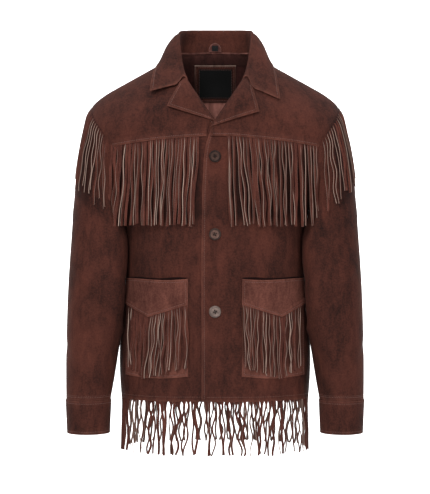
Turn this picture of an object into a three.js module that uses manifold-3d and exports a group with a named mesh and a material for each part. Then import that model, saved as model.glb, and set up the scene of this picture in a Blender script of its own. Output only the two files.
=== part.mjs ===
// A western suede jacket with fringed yokes, armholes, pockets and hem, hollow, as it is when worn.
// Millimetres. +Z is up, the fronts face -Y, and +X is the wearer's left, seen on the right from the front.
// The origin is the middle of the neck at the height where the shoulder seams would reach it.
import * as THREE from "three";
import { mergeVertices } from "three/addons/utils/BufferGeometryUtils.js";
import Module from "manifold-3d";

const wasm = await Module();
wasm.setup();

// Driving dimensions
const HEM_Z = -646;
const PIT = { x: 181, z: -286 };
const TIP = { x: 241, z: -85 };
const NECK = { x: 72, z: 18 };
const SHOULDER_Y = 15;
const BACK_NECK_RISE = 10;
const CUFF = { seamZ: -647, endZ: -711 };
const SUEDE = 1.5;
const COLLAR_THICK = 1.8;
const TRIM_THICK = 1.2;
const SEAM_GAP = 0.3;
const LAYER = 1.9;
const OVERLAP_LIFT = 2.6;
const YOKE = { centreZ: -149, armholeZ: -166 };
const BUTTON = { radius: 11.2, rows: [-187, -332, -477] };
const POCKET = {
  topZ: -414,
  bottomZ: -599,
  sag: 4,
  innerX: 50,
  topOuterX: 167,
  bottomOuterX: 169,
  trimSide: 50,
  trimPoint: 74,
};
const FRINGE = {
  width: 3.6,
  thick: 1.5,
  chestTipZ: -315,
  armhole: 142,
  pocket: 116,
  hem: 100,
  hemStrip: 5,
};
const STRANDS = { chest: 29, armhole: 24, pocket: 21, hemFront: 27, hemBack: 46 };

// Worn cross-sections of the body: half width, and the depth of front and back from the side seams
const BODY = [
  { z: -646, half: 181, front: 130, back: 119 },
  { z: -600, half: 184, front: 129, back: 115 },
  { z: -540, half: 184, front: 127, back: 109 },
  { z: -480, half: 179, front: 127, back: 103 },
  { z: -430, half: 175, front: 129, back: 101 },
  { z: -380, half: 171, front: 132, back: 104 },
  { z: -330, half: 172, front: 134, back: 110 },
  { z: -286, half: 181, front: 136, back: 115 },
  { z: -260, half: 192, front: 136, back: 117 },
  { z: -230, half: 213, front: 135, back: 118 },
  { z: -160, half: 243, front: 128, back: 118 },
  { z: -110, half: 270, front: 116, back: 112 },
  { z: -50, half: 300, front: 93, back: 101 },
  { z: 30, half: 320, front: 66, back: 68 },
];
// The armhole seam seen from the front
const ARMHOLE = [
  { z: -286, x: 181 },
  { z: -260, x: 184 },
  { z: -230, x: 187.5 },
  { z: -200, x: 191 },
  { z: -175, x: 196 },
  { z: -155, x: 203 },
  { z: -135, x: 215 },
  { z: -113, x: 230 },
  { z: -97, x: 237 },
  { z: -85, x: 241 },
];
// The edge of each front, from the hem up the overlap, the roll line of the lapel and the neckline
const FRONT_EDGE = [
  { z: -646, x: -25 },
  { z: -300, x: -24.5 },
  { z: -200, x: -21.5 },
  { z: -175, x: -19 },
  { z: -160, x: -15.8 },
  { z: -148, x: -12 },
  { z: -136, x: -8 },
  { z: -126, x: -2.2 },
  { z: -84, x: 25 },
  { z: -52, x: 45.5 },
  { z: -28, x: 58 },
  { z: -12, x: 66 },
  { z: 4, x: 71 },
  { z: 18, x: 72 },
];
// Heights of the rows of the body panels below the armpit. A pocket runs from the second to the sixth.
const LOW_ROWS = [-646, -599, -552, -505, -459, -414, -371, -329];
// Shares of the armhole's height at the rows above, from the armpit to the tip. The yoke ends on the fifth.
const LEVELS = [0, 0.05, 0.17, 0.37, 0.6, 0.72, 0.83, 0.92, 0.975, 1];
const YOKE_ROW = LOW_ROWS.length + 4;
const TOP_ROW = LOW_ROWS.length + LEVELS.length - 1;
const BACK_COLUMNS = [0, 0.1, 0.2, 72 / 241, 0.45, 0.6, 0.74, 0.86, 0.95, 1];
// Soft folds of the worn cloth, as ridges (+) and troughs (-): place, lean, width, height and depth
const FRONT_FOLDS = [
  { x: -112, z: -372, lean: 0.3, across: 26, up: 60, depth: 4.5 },
  { x: -70, z: -395, lean: 0.2, across: 20, up: 55, depth: -2.5 },
  { x: 118, z: -366, lean: -0.3, across: 26, up: 62, depth: 4.5 },
  { x: 74, z: -380, lean: -0.15, across: 20, up: 60, depth: -2.5 },
  { x: -96, z: -650, lean: -0.1, across: 30, up: 60, depth: 5 },
  { x: -50, z: -650, lean: 0, across: 20, up: 70, depth: -3 },
  { x: 92, z: -650, lean: 0.12, across: 32, up: 58, depth: 5.5 },
  { x: 138, z: -640, lean: 0.1, across: 16, up: 50, depth: -3.5 },
  { x: -128, z: -118, lean: -0.5, across: 22, up: 45, depth: -2.5 },
  { x: 126, z: -112, lean: 0.5, across: 24, up: 45, depth: -2.5 },
];
const BACK_FOLDS = [
  { x: -95, z: -430, lean: 0.25, across: 24, up: 80, depth: 4.5 },
  { x: -52, z: -440, lean: 0.1, across: 20, up: 90, depth: -3.5 },
  { x: 100, z: -420, lean: -0.25, across: 26, up: 80, depth: 4.5 },
  { x: 48, z: -460, lean: -0.1, across: 22, up: 85, depth: -3 },
  { x: 0, z: -650, lean: 0, across: 34, up: 90, depth: 5 },
  { x: -110, z: -650, lean: 0.05, across: 26, up: 75, depth: -4 },
  { x: 112, z: -650, lean: -0.05, across: 28, up: 75, depth: -4 },
];
// Sleeve rings, by their outermost and innermost point, their middle in depth and half their depth.
// turn is how far the inner side comes forward, in front of the body, and keep is how much of the
// armhole's own outline the ring still has.
const SLEEVE = [
  { ox: 241, oz: -85, ix: 181, iz: -286, y: 2, deep: 84, turn: 0, keep: 1 },
  { ox: 249, oz: -93, ix: 183.5, iz: -293, y: 2, deep: 83, turn: 0, keep: 0.8 },
  { ox: 255.5, oz: -112, ix: 182.5, iz: -303, y: 1, deep: 81, turn: -7, keep: 0.5 },
  { ox: 262.5, oz: -155, ix: 174.5, iz: -318, y: -3, deep: 79, turn: -22, keep: 0.15 },
  { ox: 268, oz: -210, ix: 168.5, iz: -340, y: -9, deep: 76, turn: -44, keep: 0 },
  { ox: 273, oz: -275, ix: 167.5, iz: -372, y: -17, deep: 73, turn: -42, keep: 0 },
  { ox: 277, oz: -345, ix: 171.5, iz: -416, y: -28, deep: 70, turn: -37, keep: 0 },
  { ox: 281, oz: -420, ix: 174.6, iz: -466, y: -39, deep: 67, turn: -27, keep: 0 },
  { ox: 283, oz: -490, ix: 179, iz: -516, y: -46, deep: 64, turn: -12, keep: 0 },
  { ox: 284.5, oz: -556, ix: 187, iz: -565, y: -51, deep: 59, turn: 0, keep: 0 },
  { ox: 284.5, oz: -603, ix: 193.5, iz: -606, y: -54, deep: 55, turn: 0, keep: 0 },
  { ox: 284, oz: -646.7, ix: 200.5, iz: -646.7, y: -56, deep: 49, turn: 0, keep: 0 },
];
const SLEEVE_FOLDS = [
  { ring: 5.2, angle: 70, long: 0.8, wide: 34, depth: -3 },
  { ring: 6.4, angle: 120, long: 0.6, wide: 40, depth: 3.5 },
  { ring: 7.0, angle: 95, long: 0.45, wide: 38, depth: -4 },
  { ring: 7.8, angle: 60, long: 0.6, wide: 36, depth: 3 },
  { ring: 6.8, angle: 262, long: 0.6, wide: 40, depth: 4 },
  { ring: 9.8, angle: 100, long: 0.6, wide: 46, depth: 3 },
];
// The collar from the middle of the back to its front end: its fold and its outer edge
const COLLAR = [
  { at: 0, fx: 0, fy: 70, fz: 75.5, ex: 0, ey: 90, ez: 8 },
  { at: 0.2, fx: 29, fy: 66, fz: 75, ex: 36, ey: 85, ez: 8 },
  { at: 0.4, fx: 54, fy: 50, fz: 72.5, ex: 70, ey: 68, ez: 7 },
  { at: 0.58, fx: 68.5, fy: 24, fz: 66, ex: 98, ey: 42, ez: 6 },
  { at: 0.7, fx: 69.5, fy: 2, fz: 50, ex: 108.5, ey: 10, ez: 4 },
  { at: 0.82, fx: 67.5, fy: -25, fz: 24, ex: 114.5, ey: -26, ez: -11 },
  { at: 0.92, fx: 63.5, fy: -51, fz: -6, ex: 119, ey: -60, ez: -36.5 },
  { at: 1, fx: 58.5, fy: -77.5, fz: -31, ex: 122, ey: -86, ez: -67 },
];
// Lapel corners on each front, from the middle outwards: foot, point and notch
const LAPELS = {
  right: { footZ: -120, gorgeZ: -37, point: { x: 90, z: -94 }, notch: { x: 65, z: -47 } },
  left: { footZ: -131, gorgeZ: -39, point: { x: 83, z: -104 }, notch: { x: 68, z: -53 } },
};
// On the inside: left and right count in columns of the back, low and high in rows of the collar stand
const LABELS = {
  patch: { left: 1.8, right: 1.75, topZ: 7, height: 72, rows: [13, 14, 15] },
  label: { left: 1.48, right: 1.42, topZ: 0, height: 57, rows: [14] },
  loop: { reach: 1, low: 0.12, high: 0.95, rounded: true },
  tab: { reach: 0.5, low: 0.16, high: 0.66, rounded: false },
};

const clamp = (v, lo, hi) => Math.min(hi, Math.max(lo, v));
const mix = (a, b, t) => a + (b - a) * t;
const smooth = (lo, hi, v) => {
  const t = clamp((v - lo) / (hi - lo), 0, 1);
  return t * t * (3 - 2 * t);
};

// A smooth curve through a table's rows: the value of a column where the key column is at
function along(table, key, at, column) {
  const last = table.length - 1;
  const rising = table[last][key] > table[0][key];
  let i = 0;
  while (i < last - 1 && (rising ? at > table[i + 1][key] : at < table[i + 1][key])) i++;
  const slope = (a, b) => (table[b][column] - table[a][column]) / (table[b][key] - table[a][key]);
  const own = slope(i, i + 1);
  const before = i > 0 ? (slope(i - 1, i) + own) / 2 : own;
  const after = i < last - 1 ? (own + slope(i + 1, i + 2)) / 2 : own;
  const span = table[i + 1][key] - table[i][key];
  const t = clamp((at - table[i][key]) / span, 0, 1);
  const h = t * t * (3 - 2 * t);
  return (
    mix(table[i][column], table[i + 1][column], h) +
    span * t * (1 - t) * ((1 - t) * before - t * after)
  );
}

const shoulderZ = (x) => {
  const a = Math.abs(x);
  return NECK.z - 0.556 * (a - NECK.x) - 8 * Math.max(0, (a - 200) / 41) ** 2;
};
const foldsAt = (folds, x, z) =>
  folds.reduce((sum, f) => {
    const aside = (x - f.x - f.lean * (z - f.z)) / f.across;
    return sum + f.depth * Math.exp(-(aside ** 2) - ((z - f.z) / f.up) ** 2);
  }, 0);
// 0 on the shoulder line, rising to 1 well below it
const shoulderRound = (x, z) => {
  const reach = 110;
  const bend = 1.8;
  const d = clamp((shoulderZ(x) - z) / reach, 0, 1);
  return (1 - (1 - d) ** bend) ** (1 / bend);
};
const flatness = (x, z) => {
  const bow = 2.5;
  const share = clamp(Math.abs(x) / along(BODY, "z", z, "half"), 0, 1);
  return (1 - share ** bow) ** (1 / bow);
};
function frontY(x, z) {
  const full = flatness(x, z);
  const depth = (along(BODY, "z", z, "front") + foldsAt(FRONT_FOLDS, x, z)) * full;
  return SHOULDER_Y - (SHOULDER_Y + depth) * shoulderRound(x, z);
}
function backY(x, z) {
  const full = flatness(x, z);
  const depth = (along(BODY, "z", z, "back") + foldsAt(BACK_FOLDS, x, z)) * full;
  const neck = Math.sqrt(Math.max(0, 1 - (x / NECK.x) ** 2));
  const round = shoulderRound(x, z);
  return SHOULDER_Y + (depth - SHOULDER_Y) * (round + (1 - round) * neck);
}
const armholeX = (z, onBack) =>
  along(ARMHOLE, "z", z, "x") + (onBack ? 7 * Math.sin((Math.PI * (z - PIT.z)) / (TIP.z - PIT.z)) : 0);
function surfaceNormal(depth, x, z, out) {
  const e = 0.5;
  const dx = (depth(x + e, z) - depth(x - e, z)) / (2 * e);
  const dz = (depth(x, z + e) - depth(x, z - e)) / (2 * e);
  return new THREE.Vector3(-dx, 1, -dz).multiplyScalar(out).normalize();
}
const frontNormal = (x, z) => surfaceNormal(frontY, x, z, -1);

// Grids are rows of points. Their normals face the way that turns from a row's run to the rows' run.
function gridNormals(grid, round) {
  const rows = grid.length;
  const columns = grid[0].length;
  const across = (j) => (round ? (j + columns) % columns : clamp(j, 0, columns - 1));
  const at = (i, j) => grid[clamp(i, 0, rows - 1)][across(j)];
  return grid.map((row, i) =>
    row.map((_, j) => {
      const run = at(i, j + 1).clone().sub(at(i, j - 1));
      const rise = at(i + 1, j).clone().sub(at(i - 1, j));
      return run.cross(rise).normalize();
    }),
  );
}
function lifted(grid, lift) {
  const normals = gridNormals(grid, false);
  return grid.map((row, i) => row.map((p, j) => p.clone().addScaledVector(normals[i][j], lift(i, j, p))));
}

// A point on a grid's own facets, at a row and column that may lie between the grid's own
function gridAt(grid, i, j, round = false) {
  const columns = grid[0].length;
  const r = clamp(Math.floor(i), 0, grid.length - 2);
  const c = round ? Math.floor(j) : clamp(Math.floor(j), 0, columns - 2);
  const v = i - r;
  const u = j - c;
  const left = round ? ((c % columns) + columns) % columns : c;
  const right = (left + 1) % columns;
  const [a, b] = [grid[r][left], grid[r][right]];
  const [d, e] = [grid[r + 1][left], grid[r + 1][right]];
  const p = a.clone();
  if (u >= v) return p.addScaledVector(b.clone().sub(a), u).addScaledVector(e.clone().sub(b), v);
  return p.addScaledVector(d.clone().sub(a), v).addScaledVector(e.clone().sub(d), u);
}
// The row at which column j of a grid reaches a height
function rowAt(grid, j, z) {
  let i = 0;
  while (i < grid.length - 2 && gridAt(grid, i + 1, j).z < z) i++;
  const low = gridAt(grid, i, j).z;
  const high = gridAt(grid, i + 1, j).z;
  return i + (z - low) / (high - low);
}
// How deep a panel's own facets are behind a place seen from the front
function depthOn(grid, x, z) {
  for (let i = 0; i < grid.length - 1; i++)
    for (let j = 0; j < grid[0].length - 1; j++) {
      const [a, b, c, d] = [grid[i][j], grid[i][j + 1], grid[i + 1][j + 1], grid[i + 1][j]];
      for (const [p, q, r] of [[a, b, c], [a, c, d]]) {
        const area = (q.x - p.x) * (r.z - p.z) - (r.x - p.x) * (q.z - p.z);
        const u = ((x - p.x) * (r.z - p.z) - (r.x - p.x) * (z - p.z)) / area;
        const v = ((q.x - p.x) * (z - p.z) - (x - p.x) * (q.z - p.z)) / area;
        if (u >= 0 && v >= 0 && u + v <= 1) return p.y + u * (q.y - p.y) + v * (r.y - p.y);
      }
    }
  return frontY(x, z);
}

// A closed wall of cloth on a grid. settle may move its finished points; round closes each row into a ring.
function wall(grid, { thick = SUEDE, settle = () => {}, round = false } = {}) {
  const rows = grid.length;
  const columns = grid[0].length;
  const normals = gridNormals(grid, round);
  const positions = [];
  for (const side of [0.5, -0.5])
    grid.forEach((row, i) =>
      row.forEach((p, j) => {
        const moved = p.clone().addScaledVector(normals[i][j], side * thick);
        settle(moved, i, j);
        positions.push(...moved);
      }),
    );
  const half = rows * columns;
  const id = (i, j, inner) => i * columns + (round ? j % columns : j) + (inner ? half : 0);
  const index = [];
  const quad = (a, b, c, d) => index.push(a, b, c, a, c, d);
  const cells = round ? columns : columns - 1;
  for (let i = 0; i < rows - 1; i++)
    for (let j = 0; j < cells; j++) {
      quad(id(i, j), id(i, j + 1), id(i + 1, j + 1), id(i + 1, j));
      index.push(id(i, j, true), id(i + 1, j + 1, true), id(i, j + 1, true));
      index.push(id(i, j, true), id(i + 1, j, true), id(i + 1, j + 1, true));
    }
  for (let j = 0; j < cells; j++) {
    quad(id(0, j), id(0, j, true), id(0, j + 1, true), id(0, j + 1));
    quad(id(rows - 1, j), id(rows - 1, j + 1), id(rows - 1, j + 1, true), id(rows - 1, j, true));
  }
  if (!round)
    for (let i = 0; i < rows - 1; i++) {
      quad(id(i, 0), id(i + 1, 0), id(i + 1, 0, true), id(i, 0, true));
      const last = columns - 1;
      quad(id(i, last), id(i, last, true), id(i + 1, last, true), id(i + 1, last));
    }
  return indexed(positions, index);
}
function indexed(positions, index) {
  const geometry = new THREE.BufferGeometry();
  geometry.setAttribute("position", new THREE.Float32BufferAttribute(positions, 3));
  return geometry.setIndex(index);
}
function flipped(geometry) {
  const made = geometry.clone().scale(-1, 1, 1);
  const index = Array.from(made.index.array);
  for (let i = 0; i < index.length; i += 3) [index[i + 1], index[i + 2]] = [index[i + 2], index[i + 1]];
  return made.setIndex(index);
}
// Mirrored for the wearer's right (side -1), with each row turned round so that the normals still face out
const mirrored = (grid, side) =>
  side > 0 ? grid : grid.map((row) => row.map((p) => new THREE.Vector3(-p.x, p.y, p.z)).reverse());

const yokeEdgeZ = (x) => mix(YOKE.centreZ, YOKE.armholeZ, clamp(Math.abs(x) / 195, 0, 1) ** 1.6);
const pocketShare = (z) => clamp((z - POCKET.bottomZ) / (POCKET.topZ - POCKET.bottomZ), 0, 1);
// The columns of a front below the armpit. Two of them run along the sides of the pocket.
const frontColumns = (z) => [
  along(FRONT_EDGE, "z", z, "x"),
  12,
  POCKET.innerX,
  78,
  106,
  131,
  151,
  mix(POCKET.bottomOuterX, POCKET.topOuterX, pocketShare(z)),
  along(BODY, "z", z, "half") - 0.05,
];
const PIT_COLUMNS = frontColumns(PIT.z);
const FRONT_SHARES = PIT_COLUMNS.map((x) => (x - PIT_COLUMNS[0]) / (PIT_COLUMNS[8] - PIT_COLUMNS[0]));
const POCKET_LEFT = 2;
const POCKET_RIGHT = 7;

// A front of the wearer's left (side 1) or right (side -1). The left one lies over the right one.
function frontGrid(side) {
  const low = LOW_ROWS.map((z) => frontColumns(z).map((x) => [x, z]));
  const middle = LEVELS[YOKE_ROW - LOW_ROWS.length];
  const high = LEVELS.map((level) => {
    const rise = (from, yoke, to) =>
      level <= middle ? mix(from, yoke, level / middle) : mix(yoke, to, (level - middle) / (1 - middle));
    return FRONT_SHARES.map((f) => {
      const edgeX = along(FRONT_EDGE, "z", rise(PIT.z, YOKE.centreZ, NECK.z), "x");
      const x = mix(edgeX, armholeX(mix(PIT.z, TIP.z, level), false), f);
      return [x, rise(PIT.z, yokeEdgeZ(x), shoulderZ(mix(NECK.x, TIP.x, f)))];
    });
  });
  const grid = [...low, ...high].map((row, i) =>
    row.map(([x, z], j) => {
      const seam = i === TOP_ROW ? SHOULDER_Y - SEAM_GAP / 2 : Infinity;
      const edge = j === 8 ? -SEAM_GAP : Infinity;
      const y = i === TOP_ROW ? seam : Math.min(frontY(side * x, z), i <= LOW_ROWS.length ? edge : Infinity);
      const up = side > 0 ? OVERLAP_LIFT * (1 - smooth(42, 84, x)) * smooth(0, 40, shoulderZ(x) - z) : 0;
      const facing = frontNormal(side * x, z).multiply({ x: side, y: 1, z: 1 });
      return new THREE.Vector3(x, y, z).addScaledVector(facing, up);
    }),
  );
  return mirrored(grid, side);
}
function backGrid() {
  const low = LOW_ROWS.map((z) => BACK_COLUMNS.map((f) => [f * (along(BODY, "z", z, "half") - 0.05), z]));
  const high = LEVELS.map((level) =>
    BACK_COLUMNS.map((f) => {
      const topX = TIP.x * f;
      const neck = BACK_NECK_RISE * Math.max(0, 1 - (topX / NECK.x) ** 2);
      const top = topX < NECK.x ? NECK.z + neck : shoulderZ(topX);
      return [f * armholeX(mix(PIT.z, TIP.z, level), true), mix(PIT.z, top, level)];
    }),
  );
  return [...low, ...high].map((row, i) => {
    const across = [...row.slice(1).reverse(), ...row.map(([x, z]) => [-x, z])];
    return across.map(([x, z]) => {
      const seam = i === TOP_ROW && Math.abs(x) > NECK.x - 1;
      return new THREE.Vector3(x, seam ? SHOULDER_Y + SEAM_GAP / 2 : Math.max(backY(x, z), SEAM_GAP), z);
    });
  });
}

// Part of a panel's grid, by columns counted from the front edge and rows that may depend on the column
function laidOn(panel, side, columns, rowsOf) {
  const last = panel[0].length - 1;
  const place = (j) => (side > 0 ? j : last - j);
  const made = columns.map((j) => rowsOf(j, place(j)).map((i) => gridAt(panel, i, place(j))));
  const rows = made[0].map((_, i) => made.map((column) => column[i]));
  return side > 0 ? rows : rows.map((row) => row.reverse());
}
const columnOf = (side, columns, j) => columns[side > 0 ? j : columns.length - 1 - j];

const YOKE_COLUMNS = [0.12, 1, 2, 3, 4, 5, 6, 7, 7.75];
// The right yoke stops short of the left front's edge, which lies over it
const YOKE_STARTS = { 1: [0.12, 0.12, 0.12, 0.12], "-1": [0.93, 0.93, 0.8, 0.12] };
function yokeGrid(panel, side) {
  const last = panel[0].length - 1;
  const rows = [0, 7.5, 12, 1, 2, 3, 4, 4.97].map((up, r) =>
    YOKE_COLUMNS.map((own, k) => {
      const j = k === 0 && r < 4 ? YOKE_STARTS[side][r] : own;
      const place = side > 0 ? j : last - j;
      const i = r < 3 ? rowAt(panel, place, gridAt(panel, YOKE_ROW, place).z + up) : YOKE_ROW + up;
      return gridAt(panel, i, place);
    }),
  );
  const grid = side > 0 ? rows : rows.map((row) => row.reverse());
  return lifted(grid, (i) => LAYER + [1.7, 1.7, 0.3, 0, 0, 0, 0, 0][i]);
}

// A lapel turned back from the roll line, on top of the yoke
function lapelGrid(panel, side) {
  const { footZ, gorgeZ, point, notch } = side > 0 ? LAPELS.left : LAPELS.right;
  const base = 2 * LAYER + 0.9;
  const across = [-0.045, 0.03, 0.12, 0.4, 0.7, 1];
  const grid = Array.from({ length: 8 }, (_, i) => i / 7).map((a) => {
    const rollZ = mix(footZ, gorgeZ, a);
    const rollX = along(FRONT_EDGE, "z", rollZ, "x");
    const edgeX = mix(point.x, notch.x, a);
    const edgeZ = mix(point.z, notch.z, a);
    return across.map((b) => {
      const kept = Math.max(b, 0.06);
      const heldX = mix(rollX, edgeX, kept);
      const heldZ = mix(rollZ, edgeZ, kept);
      const lift = b < 0 ? 1.9 : b < 0.05 ? base - 0.7 : base;
      const swell = 4.5 * Math.sin(Math.PI * clamp(b, 0, 1)) * Math.sin(Math.PI * mix(0.15, 0.9, a));
      const y = depthOn(panel, side * heldX, heldZ);
      const p = new THREE.Vector3(side * mix(rollX, edgeX, b), y, mix(rollZ, edgeZ, b));
      p.addScaledVector(frontNormal(side * heldX, heldZ), lift + swell);
      return new THREE.Vector3(side * p.x, p.y, p.z);
    });
  });
  return mirrored(grid, side);
}

// The neckline, from the middle of the back over the shoulder seam to the gorge of one front
function neckline(back, panel, side) {
  const top = back[TOP_ROW];
  const middle = (top.length - 1) / 2;
  const ofBack = [0, 1, 2, 3].map((k) => top[middle - side * k]);
  const edge = side > 0 ? 0 : panel[0].length - 1;
  const ofFront = [];
  for (let i = TOP_ROW; panel[i][edge].z > -45; i--) ofFront.push(panel[i][edge]);
  const last = rowAt(panel, edge, -38);
  return [...ofBack, ...ofFront.slice(1, -1), gridAt(panel, last, edge)];
}
function pointAlong(line, share) {
  const lengths = [0];
  for (let i = 1; i < line.length; i++) lengths.push(lengths[i - 1] + line[i].distanceTo(line[i - 1]));
  const target = share * lengths[line.length - 1];
  let i = 1;
  while (i < line.length - 1 && lengths[i] < target) i++;
  return line[i - 1].clone().lerp(line[i], (target - lengths[i - 1]) / (lengths[i] - lengths[i - 1]));
}
function collarGrid(back, fronts) {
  const stations = Array.from({ length: 23 }, (_, j) => mix(-1, 1, j / 22));
  const rows = ["seam", "high", "under", "fold", "over", 0.25, 0.6, 1];
  const lines = { 1: neckline(back, fronts[1], 1), "-1": neckline(back, fronts[-1], -1) };
  return rows.map((row) =>
    stations.map((at) => {
      const side = at < 0 ? -1 : 1;
      const c = (column) => along(COLLAR, "at", Math.abs(at), column);
      const fold = new THREE.Vector3(side * c("fx"), c("fy"), c("fz"));
      const edge = new THREE.Vector3(side * c("ex"), c("ey"), c("ez"));
      const out = edge.clone().sub(fold).setZ(0).normalize();
      const seam = pointAlong(lines[side], Math.abs(at)).addScaledVector(out, -1.2);
      seam.z += 1.5;
      const stand = fold.distanceTo(seam);
      const drop = Math.min(3.2, stand * 0.3);
      if (row === "seam") return seam;
      if (row === "high") return seam.lerp(fold, 0.5).addScaledVector(out, 0.8);
      if (row === "under") return fold.clone().lerp(seam, drop / stand).addScaledVector(out, -0.6);
      if (row === "fold") return fold.addScaledVector(out, 1.8);
      const foldOut = fold.clone().addScaledVector(out, 4.6);
      foldOut.z -= drop;
      if (row === "over") return foldOut;
      const bulge = 29 * row ** 0.8 * (1 - row) * (1 - 0.55 * Math.abs(at) ** 4);
      const p = foldOut.lerp(edge, row).addScaledVector(out, bulge * 0.8);
      p.z += bulge * 0.35;
      return p;
    }),
  );
}

// Patch pockets: the patch, and over it the trim with a pointed lower edge
const POCKET_COLUMNS = [2, 3, 4, 5, 6, 7];
const TRIM_COLUMNS = [2, 3, 4, 4.64, 5, 6, 7];
const pocketShareAcross = (j) => (j - POCKET_LEFT) / (POCKET_RIGHT - POCKET_LEFT);
const pocketSwell = (j, z) =>
  1.3 * Math.sin(Math.PI * pocketShareAcross(j)) * smooth(POCKET.bottomZ, POCKET.topZ, z);
const trimZ = (j) => {
  const point = 4.64;
  const before = (j - POCKET_LEFT) / (point - POCKET_LEFT);
  const rise = j < point ? before : (POCKET_RIGHT - j) / (POCKET_RIGHT - point);
  return POCKET.topZ - mix(POCKET.trimSide, POCKET.trimPoint, rise);
};
function pocketGrid(panel, side) {
  const grid = laidOn(panel, side, POCKET_COLUMNS, (j, place) => {
    const sag = POCKET.sag * Math.sin(Math.PI * pocketShareAcross(j));
    return [rowAt(panel, place, POCKET.bottomZ - sag), 2, 3, 4, 5];
  });
  return lifted(grid, (i, j, p) => LAYER + pocketSwell(columnOf(side, POCKET_COLUMNS, j), p.z));
}
function pocketTrimGrid(panel, side) {
  const grid = laidOn(panel, side, TRIM_COLUMNS, (j, place) =>
    [trimZ(j), trimZ(j) + 7, trimZ(j) + 12, POCKET.topZ + 1.5].map((z) => rowAt(panel, place, z)),
  );
  const over = [1.7, 1.7, 0.3, 0.15];
  const swell = (j) => pocketSwell(columnOf(side, TRIM_COLUMNS, j), POCKET.topZ);
  return lifted(grid, (i, j) => 2 * LAYER + swell(j) + over[i]);
}

// Sleeve: turn counts round the ring from the tip of the shoulder over the front, in the armhole's rows
const RING = 2 * (LEVELS.length - 1);
const ANGLES = Array.from({ length: RING }, (_, j) => {
  const level = LEVELS[Math.abs(LEVELS.length - 1 - j)];
  const angle = Math.acos(2 * level - 1);
  return j < LEVELS.length ? angle : 2 * Math.PI - angle;
});
const RINGS = SLEEVE.map((row, ring) => ({ ...row, ring }));
const SLEEVE_ROWS = [0, 0.5, 1, 2, 3, 4, 5, 6, 6.7, 7.4, 8.2, 9.2, 10.2, 11];
function angleOf(turn) {
  const laps = Math.floor(turn / RING);
  const within = turn - laps * RING;
  const j = Math.floor(within);
  const next = j + 1 < RING ? ANGLES[j + 1] : 2 * Math.PI;
  return laps * 2 * Math.PI + mix(ANGLES[j], next, within - j);
}
function sleevePoint(ring, turn) {
  const angle = angleOf(turn);
  const s = (column) => along(RINGS, "ring", ring, column);
  const c = Math.cos(angle);
  const point = new THREE.Vector3(
    mix(s("ix"), s("ox"), (1 + c) / 2),
    s("y") - Math.sin(angle) * s("deep") + s("turn") * ((1 - c) / 2) ** 3,
    mix(s("iz"), s("oz"), (1 + c) / 2),
  );
  const first = RINGS[0];
  const z = mix(PIT.z, TIP.z, (1 + c) / 2);
  const onBack = Math.sin(angle) < -1e-9;
  const x = armholeX(z, onBack);
  const keep = s("keep");
  point.x += keep * (x - mix(first.ix, first.ox, (1 + c) / 2) + mix(0.45, 3.4, ((1 - c) / 2) ** 3));
  point.y += keep * ((onBack ? backY(x, z) : frontY(x, z)) - first.y + Math.sin(angle) * first.deep);
  const degrees = THREE.MathUtils.radToDeg(Math.atan2(Math.sin(angle), c));
  const fold = SLEEVE_FOLDS.reduce((sum, f) => {
    const apart = ((degrees - f.angle + 540) % 360) - 180;
    return sum + f.depth * Math.exp(-(((ring - f.ring) / f.long) ** 2) - (apart / f.wide) ** 2);
  }, 0);
  point.x += fold * c;
  point.y -= fold * Math.sin(angle);
  return point;
}
const sleeveGrid = () => SLEEVE_ROWS.map((ring) => ANGLES.map((_, j) => sleevePoint(ring, RING - j)));
function cuffGrid() {
  const end = SLEEVE[SLEEVE.length - 1];
  const levels = [
    { z: CUFF.seamZ, grow: 1.1 },
    { z: mix(CUFF.seamZ, CUFF.endZ, 0.5), grow: 0.6 },
    { z: CUFF.endZ, grow: -1.2 },
  ];
  return levels.map(({ z, grow }) =>
    ANGLES.map((_, j) => {
      const angle = -ANGLES[j];
      return new THREE.Vector3(
        (end.ox + end.ix) / 2 + Math.cos(angle) * ((end.ox - end.ix) / 2 + grow),
        end.y - Math.sin(angle) * (end.deep + grow),
        z,
      );
    }),
  );
}

// Solids from geometries, and back
function solidOf(geometry) {
  const bare = geometry.clone();
  for (const name of Object.keys(bare.attributes)) if (name !== "position") bare.deleteAttribute(name);
  const merged = mergeVertices(bare, 1e-4);
  return new wasm.Manifold(
    new wasm.Mesh({
      numProp: 3,
      vertProperties: new Float32Array(merged.attributes.position.array),
      triVerts: new Uint32Array(merged.index.array),
    }),
  );
}
function geometryOf(solid) {
  const made = solid.getMesh();
  return indexed(made.vertProperties, Array.from(made.triVerts));
}

// One fringe strand: a flat three-sided strip along places with the direction each faces, thin at its root
function strand(places) {
  const last = places.length - 1;
  const positions = [];
  places.forEach(({ p, facing }, k) => {
    const run = places[Math.min(k + 1, last)].p.clone().sub(places[Math.max(k - 1, 0)].p).normalize();
    const across = run.clone().cross(facing).normalize();
    const face = across.clone().cross(run).normalize();
    const width = FRINGE.width * (k < 2 ? 0.85 : k === last ? 0.75 : 1);
    const thick = FRINGE.thick * (k < 2 ? 0.5 : 1) * Math.sign(face.dot(facing));
    for (const [a, b] of [[-0.5, -0.5], [0.5, -0.5], [0, 0.5]])
      positions.push(...p.clone().addScaledVector(across, a * width).addScaledVector(face, b * thick));
  });
  const index = [0, 2, 1, 3 * last, 3 * last + 1, 3 * last + 2];
  for (let k = 0; k < last; k++)
    for (let c = 0; c < 3; c++) {
      const a = 3 * k + c;
      const b = 3 * k + ((c + 1) % 3);
      index.push(a, b, b + 3, a, b + 3, a + 3);
    }
  const solid = solidOf(indexed(positions, index));
  if (solid.volume() > 0) return solid;
  for (let i = 0; i < index.length; i += 3) [index[i + 1], index[i + 2]] = [index[i + 2], index[i + 1]];
  return solidOf(indexed(positions, index));
}
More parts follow.
